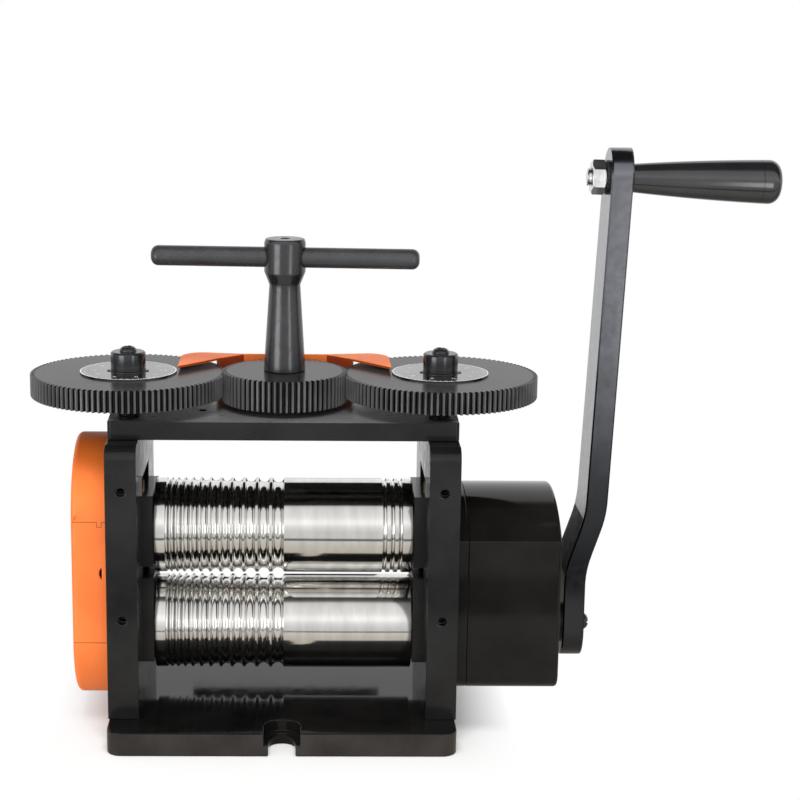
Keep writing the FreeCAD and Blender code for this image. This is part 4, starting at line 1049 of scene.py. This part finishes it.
coverLines = {
    "front": 39.5 * mm, "from": -112.5 * mm, "to": -93.3 * mm, "width": 0.28 * mm, "proud": 0.03 * mm,
    "deep": 0.3 * mm, "upper": 116.8 * mm, "lower": 49.4 * mm,
    "dip": (-99.4 * mm, -96.9 * mm, 2.7 * mm),       # from, to and depth
}


def makeCoverLines(spec):
    # the rim strip is let in between two bends, and its joints stay visible
    work = bmesh.new()
    half = spec["width"] / 2
    dipFrom, dipTo, dip = spec["dip"]
    for face in (-1, 1):
        near, far = sorted((face * (spec["front"] + spec["proud"]), face * (spec["front"] - spec["deep"])))
        for z in (spec["upper"], spec["lower"]):
            runs = [(spec["from"], spec["to"], z)]
            if z == spec["upper"] and face < 0:
                runs = [(spec["from"], dipFrom, z), (dipFrom, dipTo, z - dip), (dipTo, spec["to"], z)]
                for x in (dipFrom, dipTo):
                    addBox(work, (x - half, near, z - dip), (x + half, far, z + half))
            for start, end, level in runs:
                addBox(work, (start, near, level - half), (end, far, level + half))
    faceOut(work)
    return placed(fromMesh("coverJoints", work, seamBrown), "frame", "orange_paint")


makeCoverLines(coverLines)

# finishes of the nodes that stay, by the end of the name; all others are bare gear steel
plain = (
    (screwSteel, ("_screws", "_pressure_screw", "handle_post", "grip_lock_washer", "crank_shaft")),
    (barSteel, ("handle_bar",)),
    (bushBronze, ("_bush", "thrust_pads")),
    (enamelSatin, ("_bearing_block",)),
)
for name, node in nodes.items():
    if not node.hide_render and not name.endswith("_dial"):
        fitting = [finish for finish, endings in plain if name.endswith(endings)]
        refinish(node.data, fitting[0] if fitting else innerSteel)
print("carried nodes finished")

studio = {
    "floorSize": 8.0,
    "floorColour": (0.88, 0.875, 0.865),
    "foot": (0.0925, 0.0775),        # half sizes of the base on the floor
    "floorWhite": (0.12, 1.0),       # share of plain white at the base and away from it
    "floorFade": (0.0, 0.034),
    # a dark sheet behind the rolls, seen by mirrors alone, which paints a dark reflection in them: half
    # width, place, lower and upper edge
    "mirrorSheet": (0.060, 0.15, 0.074, 0.122),
    # painted reflection that polished steel alone sees in the floor, from front to back: place, tone
    "paintedReflection": ((-0.45, (0.78, 0.78, 0.77)), (-0.345, (0.74, 0.74, 0.73)), (-0.335, (0.12, 0.12, 0.12)),
              (-0.262, (0.12, 0.12, 0.12)), (-0.252, (0.81, 0.81, 0.785)), (-0.08, (0.62, 0.57, 0.49)),
              (0.05, (0.30, 0.28, 0.26)), (0.27, (0.20, 0.20, 0.20)), (0.42, (0.92, 0.92, 0.92))),
    "worldLevel": 0.50,
    # what mirrors see of the room, as the angle over the front horizon and the level there, up to brightest
    "room": ((-180, 1.0), (-60, 0.4), (-30, 0.70), (-8, 0.75), (5, 0.90), (14, 1.10), (22, 1.29), (28, 1.20),
             (34, 1.07), (43, 0.98), (53, 0.90), (60, 0.80), (68, 0.12), (80, 0.04), (126, 0.04), (136, 1.0),
             (180, 1.0)),
    "brightest": 2.0,
    # name, place, aims at, width, height, power, seen by mirrors
    "lamps": (
        ("frontSoftbox", (0.0, -2.0, 0.72), (0, 0, 0.62), 1.5, 1.1, 14, False),
        ("overheadSoftbox", (0.0, -0.62, 1.55), (0, 0, 0.1), 0.9, 0.55, 18, False),
        ("leftStrip", (-0.56, -0.58, 0.13), (0, 0, 0.22), 0.42, 0.30, 1.6, True),
        ("rightStrip", (0.42, -0.68, 0.13), (0, 0, 0.22), 0.18, 0.30, 0.55, True),
    ),
}


def eyeShare(tree):
    # one for what the eye, a mirror or a clear thing sees; then for the eye and for a mirror alone
    path = addNode(tree, "ShaderNodeLightPath")
    rays = ("Camera", "Glossy", "Transmission")
    eye, mirror, clear = [Output(path.outputs[f"Is {ray} Ray"]) for ray in rays]
    return worked("MAXIMUM", worked("MAXIMUM", eye, mirror), clear), eye, mirror


def mixedInto(output, share, first, second):
    plug(made(share.tree, "ShaderNodeMixShader", {"Fac": share, 1: first, 2: second}), output)


def makeWorld(spec):
    world = bpy.data.worlds.new("studioWorld")
    world.use_nodes = True
    bpy.context.scene.world = world
    tree = world.node_tree
    light = tree.nodes["Background"]
    light.inputs["Color"].default_value = (1, 1, 1, 1)
    light.inputs["Strength"].default_value = spec["worldLevel"]
    _, y, z = axesOf(Output(addNode(tree, "ShaderNodeTexCoord").outputs["Generated"]))
    rise = worked("ARCTAN2", z, y * -1.0)
    curve = addNode(tree, "ShaderNodeFloatCurve", {"Value": ranged(rise, (0.0, 1.0), (-pi, pi))})
    points = curve.mapping.curves[0].points
    for place, (angle, level) in enumerate(spec["room"]):
        spot = ((angle + 180) / 360, level / spec["brightest"])
        if place in (0, len(spec["room"]) - 1):
            points[0 if place == 0 else -1].location = spot
        else:
            points.new(*spot)
    for point in points:
        point.handle_type = "AUTO_CLAMPED"
    curve.mapping.update()
    seen, eye, _ = eyeShare(tree)
    level = Output(curve.outputs["Value"]) * spec["brightest"]
    white = made(tree, "ShaderNodeBackground", {"Strength": level * (1.0 - eye) + eye, "Color": (1, 1, 1, 1)})
    mixedInto(tree.nodes["World Output"].inputs["Surface"], seen, Output(light.outputs[0]), white)


def addSheet(name, corners, material):
    mesh = bpy.data.meshes.new(name)
    mesh.from_pydata(corners, [], [(0, 1, 2, 3)])
    return addObject(name, mesh, material)


def makeFloor(spec):
    material, tree, surface = newFinish("paleFloor", spec["floorColour"], 0, 0.9, 0.1)
    x, y, _ = axesOf(Output(addNode(tree, "ShaderNodeTexCoord").outputs["Object"]))
    beside = [worked("MAXIMUM", worked("ABSOLUTE", axis) - half, 0.0)
              for axis, half in zip((x, y), spec["foot"])]
    away = worked("SQRT", beside[0] * beside[0] + beside[1] * beside[1])
    seen, _, mirror = eyeShare(tree)
    # painted reflection: polished steel alone sees the floor in the listed tones up to a front edge, and the
    # pale room beyond it
    tone = addNode(tree, "ShaderNodeMix", {0: mirror}, data_type="RGBA")
    plain, paintedReflection = [socket for socket in tone.inputs if socket.type == "RGBA"]
    plug((1, 1, 1, 1), plain)
    plug(stepped(y, spec["paintedReflection"]), paintedReflection)
    shade = [socket for socket in tone.outputs if socket.type == "RGBA"][0]
    white = made(tree, "ShaderNodeEmission", {"Color": Output(shade)})
    share = worked("MAXIMUM", seen * ranged(away, spec["floorWhite"], spec["floorFade"]), mirror)
    mixedInto(tree.nodes["Material Output"].inputs["Surface"], share, Output(surface.outputs[0]), white)
    half = spec["floorSize"] / 2
    addSheet("studioFloor", [(-half, -half, 0), (half, -half, 0), (half, half, 0), (-half, half, 0)],
                      material)


def makeBoard(spec):
    # a black sheet that only mirrors see: a painted dark reflection in the rolls
    half, y, low, high = spec["mirrorSheet"]
    black = newFinish("mirrorOnlyBlack", (0.01, 0.01, 0.01), 0, 0.9, 0.1)[0]
    mirrorSheet = addSheet("mirrorOnlyDarkSheet", [(-half, y, low), (half, y, low), (half, y, high), (-half, y, high)], black)
    mirrorSheet.visible_camera = False
    mirrorSheet.visible_diffuse = False
    mirrorSheet.visible_transmission = False
    mirrorSheet.visible_shadow = False


def makeLamps(spec):
    for name, place, target, width, height, power, mirrored in spec["lamps"]:
        lamp = bpy.data.lights.new(name, "AREA")
        lamp.shape = "RECTANGLE"
        lamp.size = width
        lamp.size_y = height
        lamp.energy = power
        holder = linked(name, lamp)
        holder.rotation_mode = "QUATERNION"
        holder.rotation_quaternion = (Vector(target) - Vector(place)).to_track_quat("-Z", "Y")
        holder.location = place
        holder.visible_camera = False
        holder.visible_glossy = mirrored


makeWorld(studio)
makeFloor(studio)
makeBoard(studio)
makeLamps(studio)
bpy.context.scene.view_settings.view_transform = "Standard"
print("studio made")
